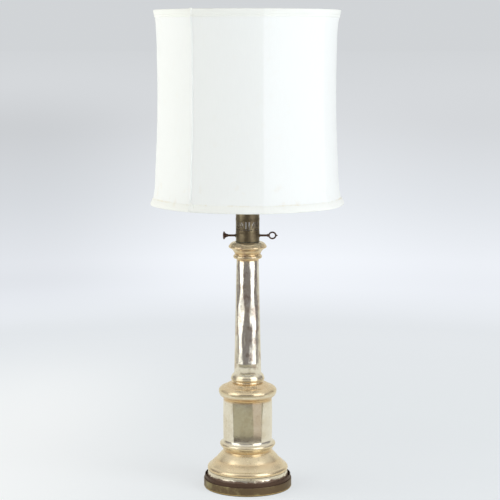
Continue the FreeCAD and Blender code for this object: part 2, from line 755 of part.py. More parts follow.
def make_pierced_gallery():
    """Band of pierced lattice, one sector at a time: staggered diamonds, a slim slot each side of the plain
    post, and a row of air holes below."""
    base = amount(GALLERY_BASE)
    outer = amount("burner_radius")
    inner = amount(BURNER_INNER)
    sector_turn = 360.0 / LATTICE_PANELS
    pitch = sector_turn / AIRHOLES_PER_PANEL
    near = inner - amount("burner_wall")
    reach = outer - near + amount("burner_wall")
    blank = Part.makeCylinder(outer, amount("gallery_height"), V(0, 0, base), UP, sector_turn)
    blank = blank.cut(Part.makeCylinder(inner, amount("gallery_height"), V(0, 0, base), UP, sector_turn))
    blank.rotate(V(0, 0, 0), UP, -90 - sector_turn / 2)

    def punch(outline, turn):
        """Prism through the wall, with its outline given across and up on the front of the band."""
        corners = [V(across, -near, up) for across, up in outline]
        face = Part.Face(Part.makePolygon(corners + corners[:1]))
        prism = face.extrude(V(0, -reach, 0))
        prism.rotate(V(0, 0, 0), UP, turn)
        return prism

    half_wide = amount("diamond_half_width")
    half_tall = amount("diamond_half_height")
    lattice_base = base + amount("lattice_base")
    row_rise = amount("lattice_row_rise")
    tools = []
    for row in range(LATTICE_ROWS):
        columns = LATTICE_COLUMNS - row % 2
        level = lattice_base + row * row_rise
        diamond = [(half_wide, level), (0, level + half_tall), (-half_wide, level), (0, level - half_tall)]
        for column in range(columns):
            tools.append(punch(diamond, (column - (columns - 1) / 2) * pitch))
    half_slot = amount("slot_half_width")
    low = lattice_base - half_wide
    high = lattice_base + (LATTICE_ROWS - 1) * row_rise + half_wide
    slot = [(half_slot, low), (half_slot, high), (-half_slot, high), (-half_slot, low)]
    for side in (-1, 1):
        tools.append(punch(slot, side * amount("slot_turn")))
    for hole in range(AIRHOLES_PER_PANEL):
        centre = V(0, -near, base + amount("airhole_height"))
        drill = Part.makeCylinder(amount("airhole_radius"), reach, centre, V(0, -1, 0))
        drill.rotate(V(0, 0, 0), UP, (hole - (AIRHOLES_PER_PANEL - 1) / 2) * pitch)
        tools.append(drill)
    sector = blank.cut(tools)
    sectors = copies_round(sector, LATTICE_PANELS, sector_turn / 2)
    shaped("pierced_gallery", sectors[0].fuse(sectors[1:]).removeSplitter())


# ---------------------------------------------------------------- keys

def make_key_bushes():
    """Two alike bushes pressed into the holes of the key sleeve."""
    bushes = []
    for side, axis in (("left", "-x"), ("right", "+x")):
        bush = new_body("key_bush_" + side)
        revolve(bush, [
            (KEY_BORE, BUSH_INNER_END, STRAIGHT),
            (KEY_BARREL, BUSH_INNER_END, STRAIGHT),
            (KEY_BARREL, stack("burner_radius", "bush_outer_length"), STRAIGHT),
            (KEY_BORE, stack("burner_radius", "bush_outer_length"), STRAIGHT),
        ])
        lay(bush, axis, "0", KEY_AXIS)
        bushes.append(bush)
    group("key_bushes", bushes)


def make_key_shaft(name, axis, outer_end):
    start = less(COLLAR_START, "key_tail")
    shaft = cylinder(name + "_shaft", "key_shaft_radius", less(outer_end, start))
    lay(shaft, axis, start, KEY_AXIS)
    collar_radius = stack("key_shaft_radius", "collar_wall")
    collar = tube(name + "_collar", collar_radius, "key_shaft_radius", "collar_length")
    lay(collar, axis, COLLAR_START, KEY_AXIS)


def make_wick_knob():
    """Trumpet-shaped thumb knob of the left key."""
    make_key_shaft("wick", "-x", stack("knob_start", "knob_bore_depth"))
    knob = new_body("wick_knob")
    knob_end = stack("knob_start", "knob_length")
    rim_start = less(knob_end, "knob_rim")
    bore_end = stack("knob_start", "knob_bore_depth")
    revolve(knob, [
        ("key_shaft_radius", "knob_start", STRAIGHT),
        ("knob_neck_radius", "knob_start", STRAIGHT),
        ("knob_radius", rim_start, -0.16),
        ("knob_radius", knob_end, 0.3),
        ("pole_flat", stack(knob_end, "knob_face_rise"), 0.04),
        ("0", stack(knob_end, "knob_face_rise"), STRAIGHT),
        ("0", bore_end, STRAIGHT),
        ("key_shaft_radius", bore_end, STRAIGHT),
    ])
    lay(knob, "-x", "0", KEY_AXIS)


def make_winding_key():
    """Right key: a round ring with a pointed end, on a short collar."""
    make_key_shaft("winding", "+x", stack("bow_start", "bow_bore_depth"))
    key = new_body("winding_key")
    bore_end = stack("bow_start", "bow_bore_depth")
    bow_foot = stack(bore_end, "bow_web", "bow_wire_radius")
    centre = stack(bow_foot, "bow_radius")
    far_side = stack(centre, "bow_radius")
    point = stack(far_side, "bow_point_length")
    revolve(key, [
        ("key_shaft_radius", "bow_start", STRAIGHT),
        ("bow_collar_radius", "bow_start", STRAIGHT),
        ("bow_collar_radius", bore_end, STRAIGHT),
        ("bow_wire_radius", bow_foot, -0.08),
        ("0", bow_foot, STRAIGHT),
        ("0", bore_end, STRAIGHT),
        ("key_shaft_radius", bore_end, STRAIGHT),
    ], "Collar")
    ring = key.newObject("PartDesign::AdditiveTorus", "Ring")
    ring.AttachmentSupport = [(origin_plane(key, "XZ_Plane"), "")]
    ring.MapMode = "FlatFace"
    ring.setExpression("AttachmentOffset.Base.y", bound(centre))
    ring.setExpression("Radius1", bound("bow_radius"))
    ring.setExpression("Radius2", bound("bow_wire_radius"))
    revolve(key, [
        ("0", less(far_side, "bow_wire_radius"), STRAIGHT),
        ("pole_flat", less(far_side, "bow_wire_radius"), STRAIGHT),
        ("bow_point_radius", far_side, 0.15),
        ("bow_point_tip_radius", point, -0.12),
        ("pole_flat", stack(point, "bow_point_tip_radius"), 0.1),
        ("0", stack(point, "bow_point_tip_radius"), STRAIGHT),
    ], "Point")
    lay(key, "+x", "0", KEY_AXIS, amount("bow_turn"))


def add_circle(sketch, across, up, radius):
    centre = V(amount(across), amount(up), 0)
    circle = sketch.addGeometry(Part.Circle(centre, UP, amount(radius)), False)
    bindings = (("DistanceX", across, centre.x), ("DistanceY", up, centre.y))
    for kind, formula, spot in bindings:
        place = sketch.addConstraint(Sketcher.Constraint(kind, -1, 1, circle, 3, spot))
        sketch.setExpression("Constraints[%d]" % place, bound(formula))
    place = sketch.addConstraint(Sketcher.Constraint("Radius", circle, amount(radius)))
    sketch.setExpression("Constraints[%d]" % place, bound(radius))


# ---------------------------------------------------------------- harp

def make_harp_saddle():
    """Stamped strip bent up at both ends, with a pin on each end."""
    body = new_body("harp_saddle")
    outer = stack("saddle_reach", "saddle_half_thickness")
    inner = less("saddle_reach", "saddle_half_thickness")
    inner_bend = less(inner, "saddle_bend")
    bend_top = stack(SADDLE_TOP, "saddle_bend")
    sketch = add_outline(new_sketch(body, "Strip", "XZ_Plane"), [
        (less("0", inner_bend), LID_TOP, ROUND),
        (inner_bend, LID_TOP, STRAIGHT),
        (outer, bend_top, ROUND),
        (outer, ARM_TOP, STRAIGHT),
        (inner, ARM_TOP, STRAIGHT),
        (inner, bend_top, STRAIGHT),
        (inner_bend, SADDLE_TOP, COVE),
        (less("0", inner_bend), SADDLE_TOP, STRAIGHT),
        (less("0", inner), bend_top, COVE),
        (less("0", inner), ARM_TOP, STRAIGHT),
        (less("0", outer), ARM_TOP, STRAIGHT),
        (less("0", outer), bend_top, STRAIGHT),
    ])
    strip = body.newObject("PartDesign::Pad", "StripPad")
    strip.Profile = sketch
    strip.Midplane = True
    strip.setExpression("Length", "2 * " + bound("saddle_half_width"))
    pins = level_sketch(body, "Pins", less(ARM_TOP, "saddle_bend"))
    add_circle(pins, "saddle_reach", "0", "harp_wire_radius")
    add_circle(pins, less("0", "saddle_reach"), "0", "harp_wire_radius")
    rise = body.newObject("PartDesign::Pad", "PinPad")
    rise.Profile = pins
    rise.setExpression("Length", bound(stack("pin_height", "saddle_bend")))
    doc.recompute()
    volume = body.Shape.Volume
    hole = level_sketch(body, "PipeHole", SADDLE_TOP)
    add_circle(hole, "0", "0", PIPE_HOLE)
    drilled = body.newObject("PartDesign::Pocket", "PipeHoleDrilled")
    drilled.Profile = hole
    drilled.setExpression("Length", bound(stack("saddle_half_thickness", "saddle_half_thickness")))
    doc.recompute()
    check_cut(body, volume)


def level_sketch(body, name, level):
    """Sketch lying flat at a height."""
    sketch = new_sketch(body, name, "XY_Plane")
    sketch.setExpression("AttachmentOffset.Base.z", bound(level))
    return sketch


def make_harp_bow():
    right = [
        V(amount("saddle_reach"), 0, amount(PIN_TOP)),
        V(amount("saddle_reach"), 0, amount(stack(PIN_TOP, "harp_leg"))),
        V(amount("harp_half_width"), 0, amount(stack(LID_TOP, "harp_widest"))),
        V(amount("harp_shoulder_half_width"), 0, amount(less(HARP_TOP, "harp_shoulder_drop"))),
        V(amount("harp_crown_half_width"), 0, amount(HARP_TOP)),
    ]
    left = [V(-point.x, 0, point.z) for point in reversed(right)]
    names = ("harp_leg_bend", "harp_side_bend", "harp_shoulder_bend", "harp_crown_bend")
    bends = [amount(name) for name in names]
    shaped("harp_bow", wire_along(arc_path(right + left, bends + bends[::-1]), amount("harp_wire_radius")))


def make_harp_stud():
    body = new_body("harp_stud")
    foot = less(HARP_TOP, "stud_saddle_drop")
    revolve(body, [
        ("0", foot, STRAIGHT),
        ("stud_saddle_radius", foot, STRAIGHT),
        ("stud_saddle_radius", STUD_DISC, STRAIGHT),
        ("stud_disc_radius", STUD_DISC, STRAIGHT),
        ("stud_disc_radius", STUD_SEAT, STRAIGHT),
        ("stud_radius", STUD_SEAT, STRAIGHT),
        ("stud_radius", stack(STUD_SEAT, "stud_length"), STRAIGHT),
        ("0", stack(STUD_SEAT, "stud_length"), STRAIGHT),
    ])
    hole = new_sketch(body, "WireHole", "YZ_Plane")
    side_hole(body, hole, "harp_wire_radius", HARP_TOP, "stud_disc_radius", True)


def make_harp_sleeves():
    bore = stack("harp_wire_radius", "sleeve_fit")
    for side, name in ((-1, "harp_sleeve_left"), (1, "harp_sleeve_right")):
        sleeve = tube(name, stack(bore, "sleeve_wall"), bore, "sleeve_length")
        sleeve.setExpression("Placement.Base.x", "%d * " % side + bound("saddle_reach"))
        sleeve.setExpression("Placement.Base.z", bound(ARM_TOP))


# ---------------------------------------------------------------- socket and switch

def make_socket():
    cup_inner = stack("socket_radius", "socket_fit")
    cup_outer = stack(cup_inner, "socket_wall")
    neck_top = stack(SOCKET_BASE, "socket_neck_height")
    cup_top = stack(SOCKET_BASE, "socket_cup_height")
    revolve(new_body("socket_cap"), [
        (PIPE_HOLE, SOCKET_BASE, STRAIGHT),
        ("socket_neck_radius", SOCKET_BASE, STRAIGHT),
        ("socket_neck_radius", neck_top, STRAIGHT),
        (cup_outer, stack(neck_top, "socket_bell_height"), 0.12),
        (cup_outer, cup_top, STRAIGHT),
        (cup_inner, cup_top, STRAIGHT),
        (cup_inner, SOCKET_FLOOR, STRAIGHT),
        (PIPE_HOLE, SOCKET_FLOOR, STRAIGHT),
    ])
    shell_inner = less("socket_radius", "socket_wall")
    shell_height = less(SOCKET_TOP, SOCKET_FLOOR)
    shell = tube("socket_shell_tube", "socket_radius", shell_inner, shell_height, SOCKET_FLOOR)
    cut("socket_shell", shell, switch_drill("shell_window", "switch_window", "switch_inner"))
    liner_outer = less(shell_inner, "socket_fit")
    liner_inner = less(liner_outer, "liner_wall")
    liner_height = less(shell_height, "socket_wall")
    liner = tube("socket_liner_tube", liner_outer, liner_inner, liner_height, SOCKET_FLOOR)
    cut("socket_liner", liner, switch_drill("liner_window", "switch_window", "switch_inner"))
    block = cylinder("socket_block_blank", less(liner_inner, "socket_fit"), "block_height", SOCKET_FLOOR)
    cut("socket_block", block, switch_drill("block_bore", "switch_fit", "switch_inner"))
    screw_outer = stack("shell_thread_radius", "thread_wall")
    screw_height = less(SOCKET_TOP, "socket_wall", BLOCK_TOP)
    tube("screw_shell", screw_outer, "shell_thread_radius", screw_height, BLOCK_TOP)
    cylinder("centre_contact", "contact_radius", "contact_height", BLOCK_TOP)


def switch_drill(name, clearance, start):
    """Cutter for the switch shaft's way out towards the front."""
    drill = cylinder(name, stack("switch_shaft_radius", clearance), "socket_radius")
    lay(drill, "-y", start, SWITCH_AXIS)
    return drill


def make_switch():
    shaft_start = stack("switch_inner", "switch_fit")
    stem_end = stack("switch_knob_start", "switch_knob_stem")
    shaft = cylinder("switch_shaft", "switch_shaft_radius", less(stem_end, shaft_start))
    lay(shaft, "-y", shaft_start, SWITCH_AXIS)
    knob = new_body("switch_knob")
    revolve(knob, [
        ("switch_shaft_radius", "switch_knob_start", STRAIGHT),
        ("switch_knob_radius", "switch_knob_start", STRAIGHT),
        ("switch_knob_radius", stem_end, STRAIGHT),
        ("switch_shaft_radius", stem_end, STRAIGHT),
    ], "Stem")
    paddle_end = stack(stem_end, "switch_paddle_length")
    left = less("0", "switch_paddle_half_width")
    shoulder = less(paddle_end, "switch_paddle_half_width")
    sketch = add_outline(new_sketch(knob, "Paddle", "XZ_Plane"), [
        (less("0", "switch_shaft_radius"), stem_end, STRAIGHT),
        ("switch_shaft_radius", stem_end, STRAIGHT),
        ("switch_paddle_half_width", shoulder, 0.1),
        ("0", paddle_end, ROUND),
        (left, shoulder, ROUND),
    ])
    paddle = knob.newObject("PartDesign::Pad", "PaddlePad")
    paddle.Profile = sketch
    paddle.Midplane = True
    paddle.setExpression("Length", bound("switch_paddle_thickness"))
    doc.recompute()
    lay(knob, "-y", "0", SWITCH_AXIS)


# ---------------------------------------------------------------- bulb

def make_bulb():
    screw_base = stack(BULB_BASE, "bulb_tip_height")
    screw_top = stack(screw_base, "bulb_screw_height")
    cup_inner = less("bulb_screw_radius", "bulb_screw_wall")
    cup_floor = stack(screw_base, "bulb_floor")
    revolve(new_body("bulb_base"), [
        ("0", BULB_BASE, STRAIGHT),
        ("bulb_tip_radius", BULB_BASE, STRAIGHT),
        ("bulb_screw_radius", screw_base, STRAIGHT),
        ("bulb_screw_radius", screw_top, STRAIGHT),
        (cup_inner, screw_top, STRAIGHT),
        (cup_inner, cup_floor, STRAIGHT),
        ("0", cup_floor, STRAIGHT),
    ])
    neck_base = less(screw_top, "bulb_neck_sink")
    neck_top = stack(screw_top, "bulb_neck_height")
    throat = stack(neck_top, "bulb_throat_height")
    equator = stack(throat, "bulb_waist_height")
    crown = stack(equator, "bulb_radius")
    inner_neck = less("bulb_neck_radius", "bulb_glass_wall")
    revolve(new_body("bulb_glass"), [
        (inner_neck, neck_base, STRAIGHT),
        ("bulb_neck_radius", neck_base, STRAIGHT),
        ("bulb_neck_radius", neck_top, STRAIGHT),
        ("bulb_throat_radius", throat, -0.07),
        ("bulb_radius", equator, 0.1),
        ("pole_flat", crown, ROUND),
        ("0", crown, STRAIGHT),
        ("0", less(crown, "bulb_glass_wall"), STRAIGHT),
        ("pole_flat", less(crown, "bulb_glass_wall"), STRAIGHT),
        (less("bulb_radius", "bulb_glass_wall"), equator, COVE),
        (less("bulb_throat_radius", "bulb_glass_wall"), throat, -0.1),
        (inner_neck, neck_top, 0.07),
    ])


# ---------------------------------------------------------------- shade

def panel_loop(radius, crown, height):
    """Closed loop of alike arcs between the ribs, each with its crown above the chord."""
    step = 360.0 / PANELS
    reach = radius * math.cos(math.radians(step / 2)) + crown

    def spot(distance, turn):
        angle = math.radians(turn)
        return V(distance * math.sin(angle), -distance * math.cos(angle), height)

    arcs = []
    for panel in range(PANELS):
        turn = amount("first_rib_turn") + panel * step
        ends = spot(radius, turn), spot(radius, turn + step)
        arcs.append(Part.Arc(ends[0], spot(reach, turn + step / 2), ends[1]).toShape())
    return Part.Wire(arcs)


def shade_levels():
    """Height, rib-line radius and crown at every station, from the top down."""
    height = amount(COVER_TOP)
    levels = []
    for name, _drop, _radius, _crown in SHADE_STATIONS:
        height -= amount(name + "_drop")
        levels.append((height, amount(name + "_radius"), amount(name + "_crown")))
    return levels


def waisted_solid(offset):
    """Solid inside the shade's surface, moved out by an offset."""
    levels = reversed(shade_levels())
    return Part.makeLoft([panel_loop(radius + offset, crown, height) for height, radius, crown in levels], True)


def make_shade_cover():
    shaped("shade_cover", waisted_solid(0).cut(waisted_solid(-amount("cover_thickness"))))


def make_shade_lining():
    """Inner cloth, notched where the spider's arms pass through to the top ring."""
    lining = waisted_solid(-amount(LINING_INSET)).cut(waisted_solid(-amount(LINING_INNER)))
    shaped("shade_lining", lining.cut(spider_rods(amount(stack("shade_wire_radius", "lining_notch")))))


def slab(low, high):
    """Box wider than the shade between two heights."""
    reach = 2 * amount("shade_hem_radius")
    return Part.makeBox(2 * reach, 2 * reach, high - low, V(-reach, -reach, low))


def make_shade_trim(name, low, high, edge, radius, crown, fold_way):
    """Folded band over one edge of the cover: a flat face outside and a fold over cover, ring and lining."""
    thickness = amount("trim_thickness")
    reach = radius + thickness
    face = waisted_solid(thickness).common(slab(low, high)).cut(waisted_solid(0))
    fold = Part.Face(panel_loop(reach, crown, edge)).extrude(V(0, 0, fold_way * amount("trim_fold")))
    opening = Part.Face(panel_loop(radius - amount(LINING_INNER), crown, edge))
    opening = opening.extrude(V(0, 0, fold_way * amount("trim_fold")))
    shaped(name, face.fuse(fold.cut(opening)).removeSplitter())


def make_shade_trims():
    top, bottom = shade_levels()[0], shade_levels()[-1]
    height = amount("trim_height")
    make_shade_trim("shade_top_trim", top[0] - height, top[0], top[0], top[1], top[2], 1)
    make_shade_trim("shade_bottom_trim", bottom[0], bottom[0] + height, bottom[0], bottom[1], bottom[2], -1)


def make_shade_frame():
    low_ring = stack(COVER_BOTTOM, "shade_wire_radius")
    rings = (
        ("shade_top_ring", less("shade_brim_radius", RING_INSET), SHADE_RING),
        ("shade_bottom_ring", less("shade_hem_radius", RING_INSET), low_ring),
    )
    for name, radius, height in rings:
        ring = doc.addObject("Part::Torus", name)
        ring.setExpression("Radius1", bound(radius))
        ring.setExpression("Radius2", bound("shade_wire_radius"))
        ring.setExpression("Placement.Base.z", bound(height))
    inset = amount(RIB_INSET)
    points = [V(radius - inset, 0, height) for height, radius, _crown in shade_levels()]
    rib = wire_along(arc_path(points, [amount("rib_bend")] * (len(points) - 2)), amount("rib_wire_radius"))
    rib = rib.common(slab(amount(COVER_BOTTOM), amount(COVER_TOP)))
    shaped("shade_ribs", Part.Compound(copies_round(rib, PANELS, amount("first_rib_turn") - 90)))


def copies_round(item, count, first_turn):
    """Alike copies spaced round the upright axis."""
    copies = []
    for number in range(count):
        copy = item.copy()
        copy.rotate(V(0, 0, 0), UP, first_turn + number * 360.0 / count)
        copies.append(copy)
    return copies


def spider_rods(radius):
    """The spider's three arms, from the washer out and up to the inside of the top ring."""
    middle = amount(SPIDER_MIDDLE)
    ring_inside = amount(less("shade_brim_radius", RING_INSET, "shade_wire_radius"))
    path = arc_path([
        V(amount("spider_washer_radius"), 0, middle),
        V(amount("spider_foot"), 0, middle),
        V(ring_inside, 0, amount(SHADE_RING)),
    ], [amount("spider_bend")])
    first_turn = amount("first_rib_turn") + 180.0 / SPIDER_ARMS
    return copies_round(wire_along(path, radius), SPIDER_ARMS, first_turn)


def make_spider():
    tube("spider_washer", "spider_washer_radius", stack("stud_radius", "spider_hole_clearance"),
         stack("spider_half_thickness", "spider_half_thickness"), STUD_SEAT)
    shaped("spider_arms", Part.Compound(spider_rods(amount("shade_wire_radius"))))


def make_finial():
    bore = stack("stud_radius", "finial_fit")
    bore_top = stack(STUD_SEAT, "stud_length", "finial_bore_play")
    base = stack(SPIDER_TOP, "finial_gap")
    base_top = stack(base, "finial_base_height")
    neck_top = stack(base_top, "finial_neck_height")
    urn_top = stack(neck_top, "finial_urn_height")
    throat_top = stack(urn_top, "finial_throat_height")
    tip_top = stack(throat_top, "finial_tip_radius", "finial_tip_radius")
    revolve(new_body("finial"), [
        (bore, base, STRAIGHT),
        ("finial_base_radius", base, STRAIGHT),
        ("finial_base_radius", base_top, 0.3),
        ("finial_neck_radius", neck_top, -0.15),
        ("finial_urn_radius", stack(neck_top, "finial_neck_height"), 0.1),
        ("finial_throat_radius", urn_top, 0.2),
        ("finial_throat_radius", throat_top, -0.1),
        ("finial_tip_radius", stack(throat_top, "finial_tip_radius"), ROUND),
        ("pole_flat", tip_top, ROUND),
        ("0", tip_top, STRAIGHT),
        ("0", bore_top, STRAIGHT),
        (bore, bore_top, STRAIGHT),
    ])


# ---------------------------------------------------------------- build, check, write

NODES = [
    "felt_pad", "base_ring", "base_plate", "cord_bushing", "foot_gasket",
    "glass_body", "lamp_pipe", "pipe_nuts", "pipe_washers", "top_gasket", "glass_cap",
    "key_sleeve", "pierced_gallery", "upper_sleeve", "burner_cap", "key_bushes",
    "wick_shaft", "wick_knob", "wick_collar", "winding_shaft", "winding_key", "winding_collar",
    "harp_saddle", "harp_bow", "harp_stud", "harp_sleeve_left", "harp_sleeve_right",
    "socket_cap", "socket_shell", "socket_liner", "socket_block", "screw_shell", "centre_contact",
    "switch_shaft", "switch_knob", "bulb_base", "bulb_glass",
    "shade_top_ring", "shade_bottom_ring", "shade_ribs", "spider_arms", "spider_washer",
    "shade_cover", "shade_lining", "shade_top_trim", "shade_bottom_trim", "finial",
]

STEPS = [
    make_felt_pad, make_base_ring, make_base_plate, make_cord_bushing,
    make_glass_body, make_gaskets_and_cap, make_pipe_and_fasteners,
    make_key_sleeve, make_upper_sleeve, make_burner_cap, make_pierced_gallery,
    make_key_bushes, make_wick_knob, make_winding_key,
    make_harp_saddle, make_harp_bow, make_harp_stud, make_harp_sleeves,
    make_socket, make_switch, make_bulb,
    make_shade_cover, make_shade_lining, make_shade_trims, make_shade_frame, make_spider, make_finial,
]
for step in STEPS:
    step()
doc.recompute()

for item in doc.Objects:
    if "Invalid" in item.State or "Error" in item.State:
        raise RuntimeError("failed: " + item.Label)
pieces = {item.Label: item for item in doc.Objects}
for node in NODES:
    shape = pieces[node].Shape
    if shape.isNull() or not shape.isValid():
        raise RuntimeError("bad shape: " + node)

os.makedirs("parts", exist_ok=True)
for node in NODES:
    pieces[node].Shape.exportStep("parts/%s.step" % node)
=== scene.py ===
"""Candlestick lamp: silvered glass column on a bronze ring, oil-burner collar, white panelled drum shade.

Metres, +Z up, origin at the centre of the underside, front towards -Y.  The turned and wired pieces are the
frame's own nodes with new finishes.  Made here are the cloth of the shade, sewn over its wire frame, and the
round shoulder of the glass bead at the foot of the column.
"""

import math
from bisect import bisect_right

import bpy
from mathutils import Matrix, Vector, noise


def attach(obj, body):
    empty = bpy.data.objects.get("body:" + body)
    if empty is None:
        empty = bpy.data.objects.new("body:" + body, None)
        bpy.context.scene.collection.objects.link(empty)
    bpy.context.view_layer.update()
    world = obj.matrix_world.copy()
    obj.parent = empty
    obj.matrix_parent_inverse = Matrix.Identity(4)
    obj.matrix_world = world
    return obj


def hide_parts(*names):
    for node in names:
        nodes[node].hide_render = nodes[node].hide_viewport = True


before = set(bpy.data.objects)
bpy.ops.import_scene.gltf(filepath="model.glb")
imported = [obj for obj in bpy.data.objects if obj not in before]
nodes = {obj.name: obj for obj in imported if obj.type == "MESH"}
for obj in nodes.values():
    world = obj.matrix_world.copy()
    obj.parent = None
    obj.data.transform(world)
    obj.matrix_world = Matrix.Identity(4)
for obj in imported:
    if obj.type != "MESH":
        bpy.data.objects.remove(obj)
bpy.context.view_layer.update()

MM = 0.001

# The photograph's camera, found from the lamp's outline.
CAMERA_PLACE = (0.0037, -2.449, 0.700)
CAMERA_TILT = math.radians(82.5)
CAMERA_LENS = 113.76                     # focal length in millimetres, as the sensor's width is
SENSOR_WIDTH = 36.0

BURNER_INNER = 17.6 * MM                 # inner face of the burner's sleeves
COLUMN_FOOT = 180 * MM                   # where the plain column rises from its bead
COLUMN_STEPS = 96                        # facets round the column's bead

# Shade, from its upper edge down: drop from the station above, radius at the ribs, crown of a panel.
SHADE_TOP = 747.7 * MM
SHADE_STATIONS = [
    (0.0, 143.6, 8.8),
    (20.0, 141.4, 6.6),
    (42.0, 139.8, 5.4),
    (62.0, 139.2, 5.2),
    (68.0, 140.8, 5.2),
    (62.0, 143.6, 5.8),
    (28.0, 146.2, 7.4),
    (15.0, 150.2, 9.2),
]
PANELS = 8
PANEL_TURN = math.tau / PANELS
FIRST_RIB_TURN = math.radians(9.5)       # from the front, towards the right
JOIN_TURN = FIRST_RIB_TURN - PANEL_TURN  # rib where the cloth and its bindings meet
LINING_INSET = 7.4 * MM
CLOTH_THICKNESS = 0.45 * MM
BINDING_THICKNESS = 0.35 * MM
THREAD_PITCH = 0.45 * MM

# Finish of the silvering up the column: height in millimetres, tint, satin share (0 mirror, 1 satin).
BRIGHT_SILVER = (0.92, 0.90, 0.84)
PALE_SILVER = (0.90, 0.86, 0.74)
CHAMPAGNE = (0.86, 0.74, 0.52)
PEACH = (0.84, 0.66, 0.42)
GOLD = (0.72, 0.50, 0.25)
SILVERING = [
    (14.8, PALE_SILVER, 0.7),
    (26.6, PALE_SILVER, 0.7),
    (29.0, PEACH, 0.9),
    (36.0, CHAMPAGNE, 1.0),
    (44.8, PEACH, 1.0),
    (47.5, CHAMPAGNE, 1.0),
    (56.0, CHAMPAGNE, 1.0),
    (59.6, GOLD, 0.9),
    (64.0, CHAMPAGNE, 0.9),
    (69.0, CHAMPAGNE, 1.0),
    (73.5, PALE_SILVER, 0.9),
    (79.0, BRIGHT_SILVER, 0.08),
    (138.0, BRIGHT_SILVER, 0.08),
    (141.5, GOLD, 0.8),
    (147.0, GOLD, 0.9),
    (150.0, PALE_SILVER, 0.6),
    (155.0, CHAMPAGNE, 0.9),
    (163.0, PEACH, 1.0),
    (169.0, PEACH, 1.0),
    (173.0, CHAMPAGNE, 0.9),
    (182.5, PALE_SILVER, 0.6),
    (186.0, BRIGHT_SILVER, 0.12),
    (355.0, BRIGHT_SILVER, 0.12),
    (360.0, PALE_SILVER, 0.5),
    (363.0, GOLD, 0.8),
    (368.0, CHAMPAGNE, 0.7),
    (373.0, GOLD, 0.9),
    (379.0, CHAMPAGNE, 0.8),
    (384.0, PEACH, 0.8),
    (391.0, CHAMPAGNE, 0.9),
]

# Ageing of the silvering, from the widest clouds to the chipped lower edge of the foot.
CLOUD_TAN = (0.66, 0.55, 0.36)
BLUSH_BROWN = (0.40, 0.25, 0.19)
GRAIN_GREY = (0.34, 0.30, 0.27)
SPECK_BROWN = (0.16, 0.10, 0.07)
WORN_BROWN = (0.17, 0.105, 0.07)
CHIPPED_EDGE = 21.9 * MM                 # height up to which the silvering is chipped off the foot
RIPPLE_DEPTH = 7.5 * MM
GRAIN_DEPTH = 0.04 * MM

# Patina of the bronze; the rim's dark brown is patina and painted shade of the groove at the top of the band.
RUBBED_BRASS = (0.55, 0.40, 0.18)
RIM_PATINA_AND_SHADE = (0.105, 0.066, 0.050)
# Pale inner wall of the burner: cleaner metal, and painted light that the holes show as light specks.
CLEAN_WALL_AND_PAINTED_LIGHT = (0.95, 0.84, 0.80)
PATINA_METALLIC = 0.85
TURNING_PITCH = 0.5 * MM


# ---------------------------------------------------------------- node helpers

def plug(tree, socket, value):
    """Set a socket to a number or colour, or link it to another socket."""
    if isinstance(value, bpy.types.NodeSocket):
        tree.links.new(value, socket)
    elif hasattr(value, "__len__") and len(value) == 3 and socket.type == "RGBA":
        socket.default_value = (*value, 1.0)
    else:
        socket.default_value = value


def math_node(tree, operation, first, second=0.0):
    """Result of one sum on numbers or sockets."""
    node = tree.nodes.new("ShaderNodeMath")
    node.operation = operation
    plug(tree, node.inputs[0], first)
    plug(tree, node.inputs[1], second)
    return node.outputs[0]


def times(tree, first, second):
    return math_node(tree, "MULTIPLY", first, second)


def plus(tree, first, second):
    return math_node(tree, "ADD", first, second)


def minus(tree, first, second):
    return math_node(tree, "SUBTRACT", first, second)


def remap(tree, value, low, high, new_low=0.0, new_high=1.0, smooth=True):
    """Carry a value from low..high over to new_low..new_high, and hold it there past the ends."""
    node = tree.nodes.new("ShaderNodeMapRange")
    node.interpolation_type = "SMOOTHSTEP" if smooth else "LINEAR"
    for name, setting in zip(("Value", "From Min", "From Max", "To Min", "To Max"),
                             (value, low, high, new_low, new_high)):
        plug(tree, node.inputs[name], setting)
    return node.outputs["Result"]


def blend_colour(tree, share, first, second, mode="MIX"):
    node = tree.nodes.new("ShaderNodeMix")
    node.data_type = "RGBA"
    node.blend_type = mode
    plug(tree, node.inputs["Factor"], share)
    plug(tree, node.inputs[6], first)
    plug(tree, node.inputs[7], second)
    return node.outputs[2]


def ramp(tree, value, stops):
    """Colour at a value between 0 and 1, from (place, colour) stops."""
    node = tree.nodes.new("ShaderNodeValToRGB")
    elements = node.color_ramp.elements
    while len(elements) < len(stops):
        elements.new(1.0)
    for element, (place, colour) in zip(elements, stops):
        element.position = place
        element.color = (*colour, 1.0)
    plug(tree, node.inputs["Fac"], value)
    return node.outputs["Color"]


def place_xyz(tree, source="Object"):
    """Place of the shaded point, whole and split into its X, Y and Z."""
    coordinates = tree.nodes.new("ShaderNodeTexCoord")
    split = tree.nodes.new("ShaderNodeSeparateXYZ")
    tree.links.new(coordinates.outputs[source], split.inputs[0])
    return coordinates.outputs[source], split.outputs


def axis_distance_squared(tree, axes):
    """Square of the distance from the lamp's upright axis."""
    return plus(tree, times(tree, axes["X"], axes["X"]), times(tree, axes["Y"], axes["Y"]))


def noise_node(tree, vector, scale, detail=2.0, roughness=0.5):
    node = tree.nodes.new("ShaderNodeTexNoise")
    plug(tree, node.inputs["Vector"], vector)
    plug(tree, node.inputs["Scale"], scale)
    plug(tree, node.inputs["Detail"], detail)
    plug(tree, node.inputs["Roughness"], roughness)
    return node.outputs["Fac"]


def stretch(tree, vector, scale):
    """Scale a place along each axis, which draws a pattern out where the factor is small."""
    node = tree.nodes.new("ShaderNodeVectorMath")
    node.operation = "MULTIPLY"
    plug(tree, node.inputs[0], vector)
    plug(tree, node.inputs[1], scale)
    return node.outputs[0]


def bump(tree, height, distance, strength=1.0, normal=None):
    node = tree.nodes.new("ShaderNodeBump")
    plug(tree, node.inputs["Height"], height)
    plug(tree, node.inputs["Distance"], distance)
    plug(tree, node.inputs["Strength"], strength)
    if normal:
        plug(tree, node.inputs["Normal"], normal)
    return node.outputs["Normal"]


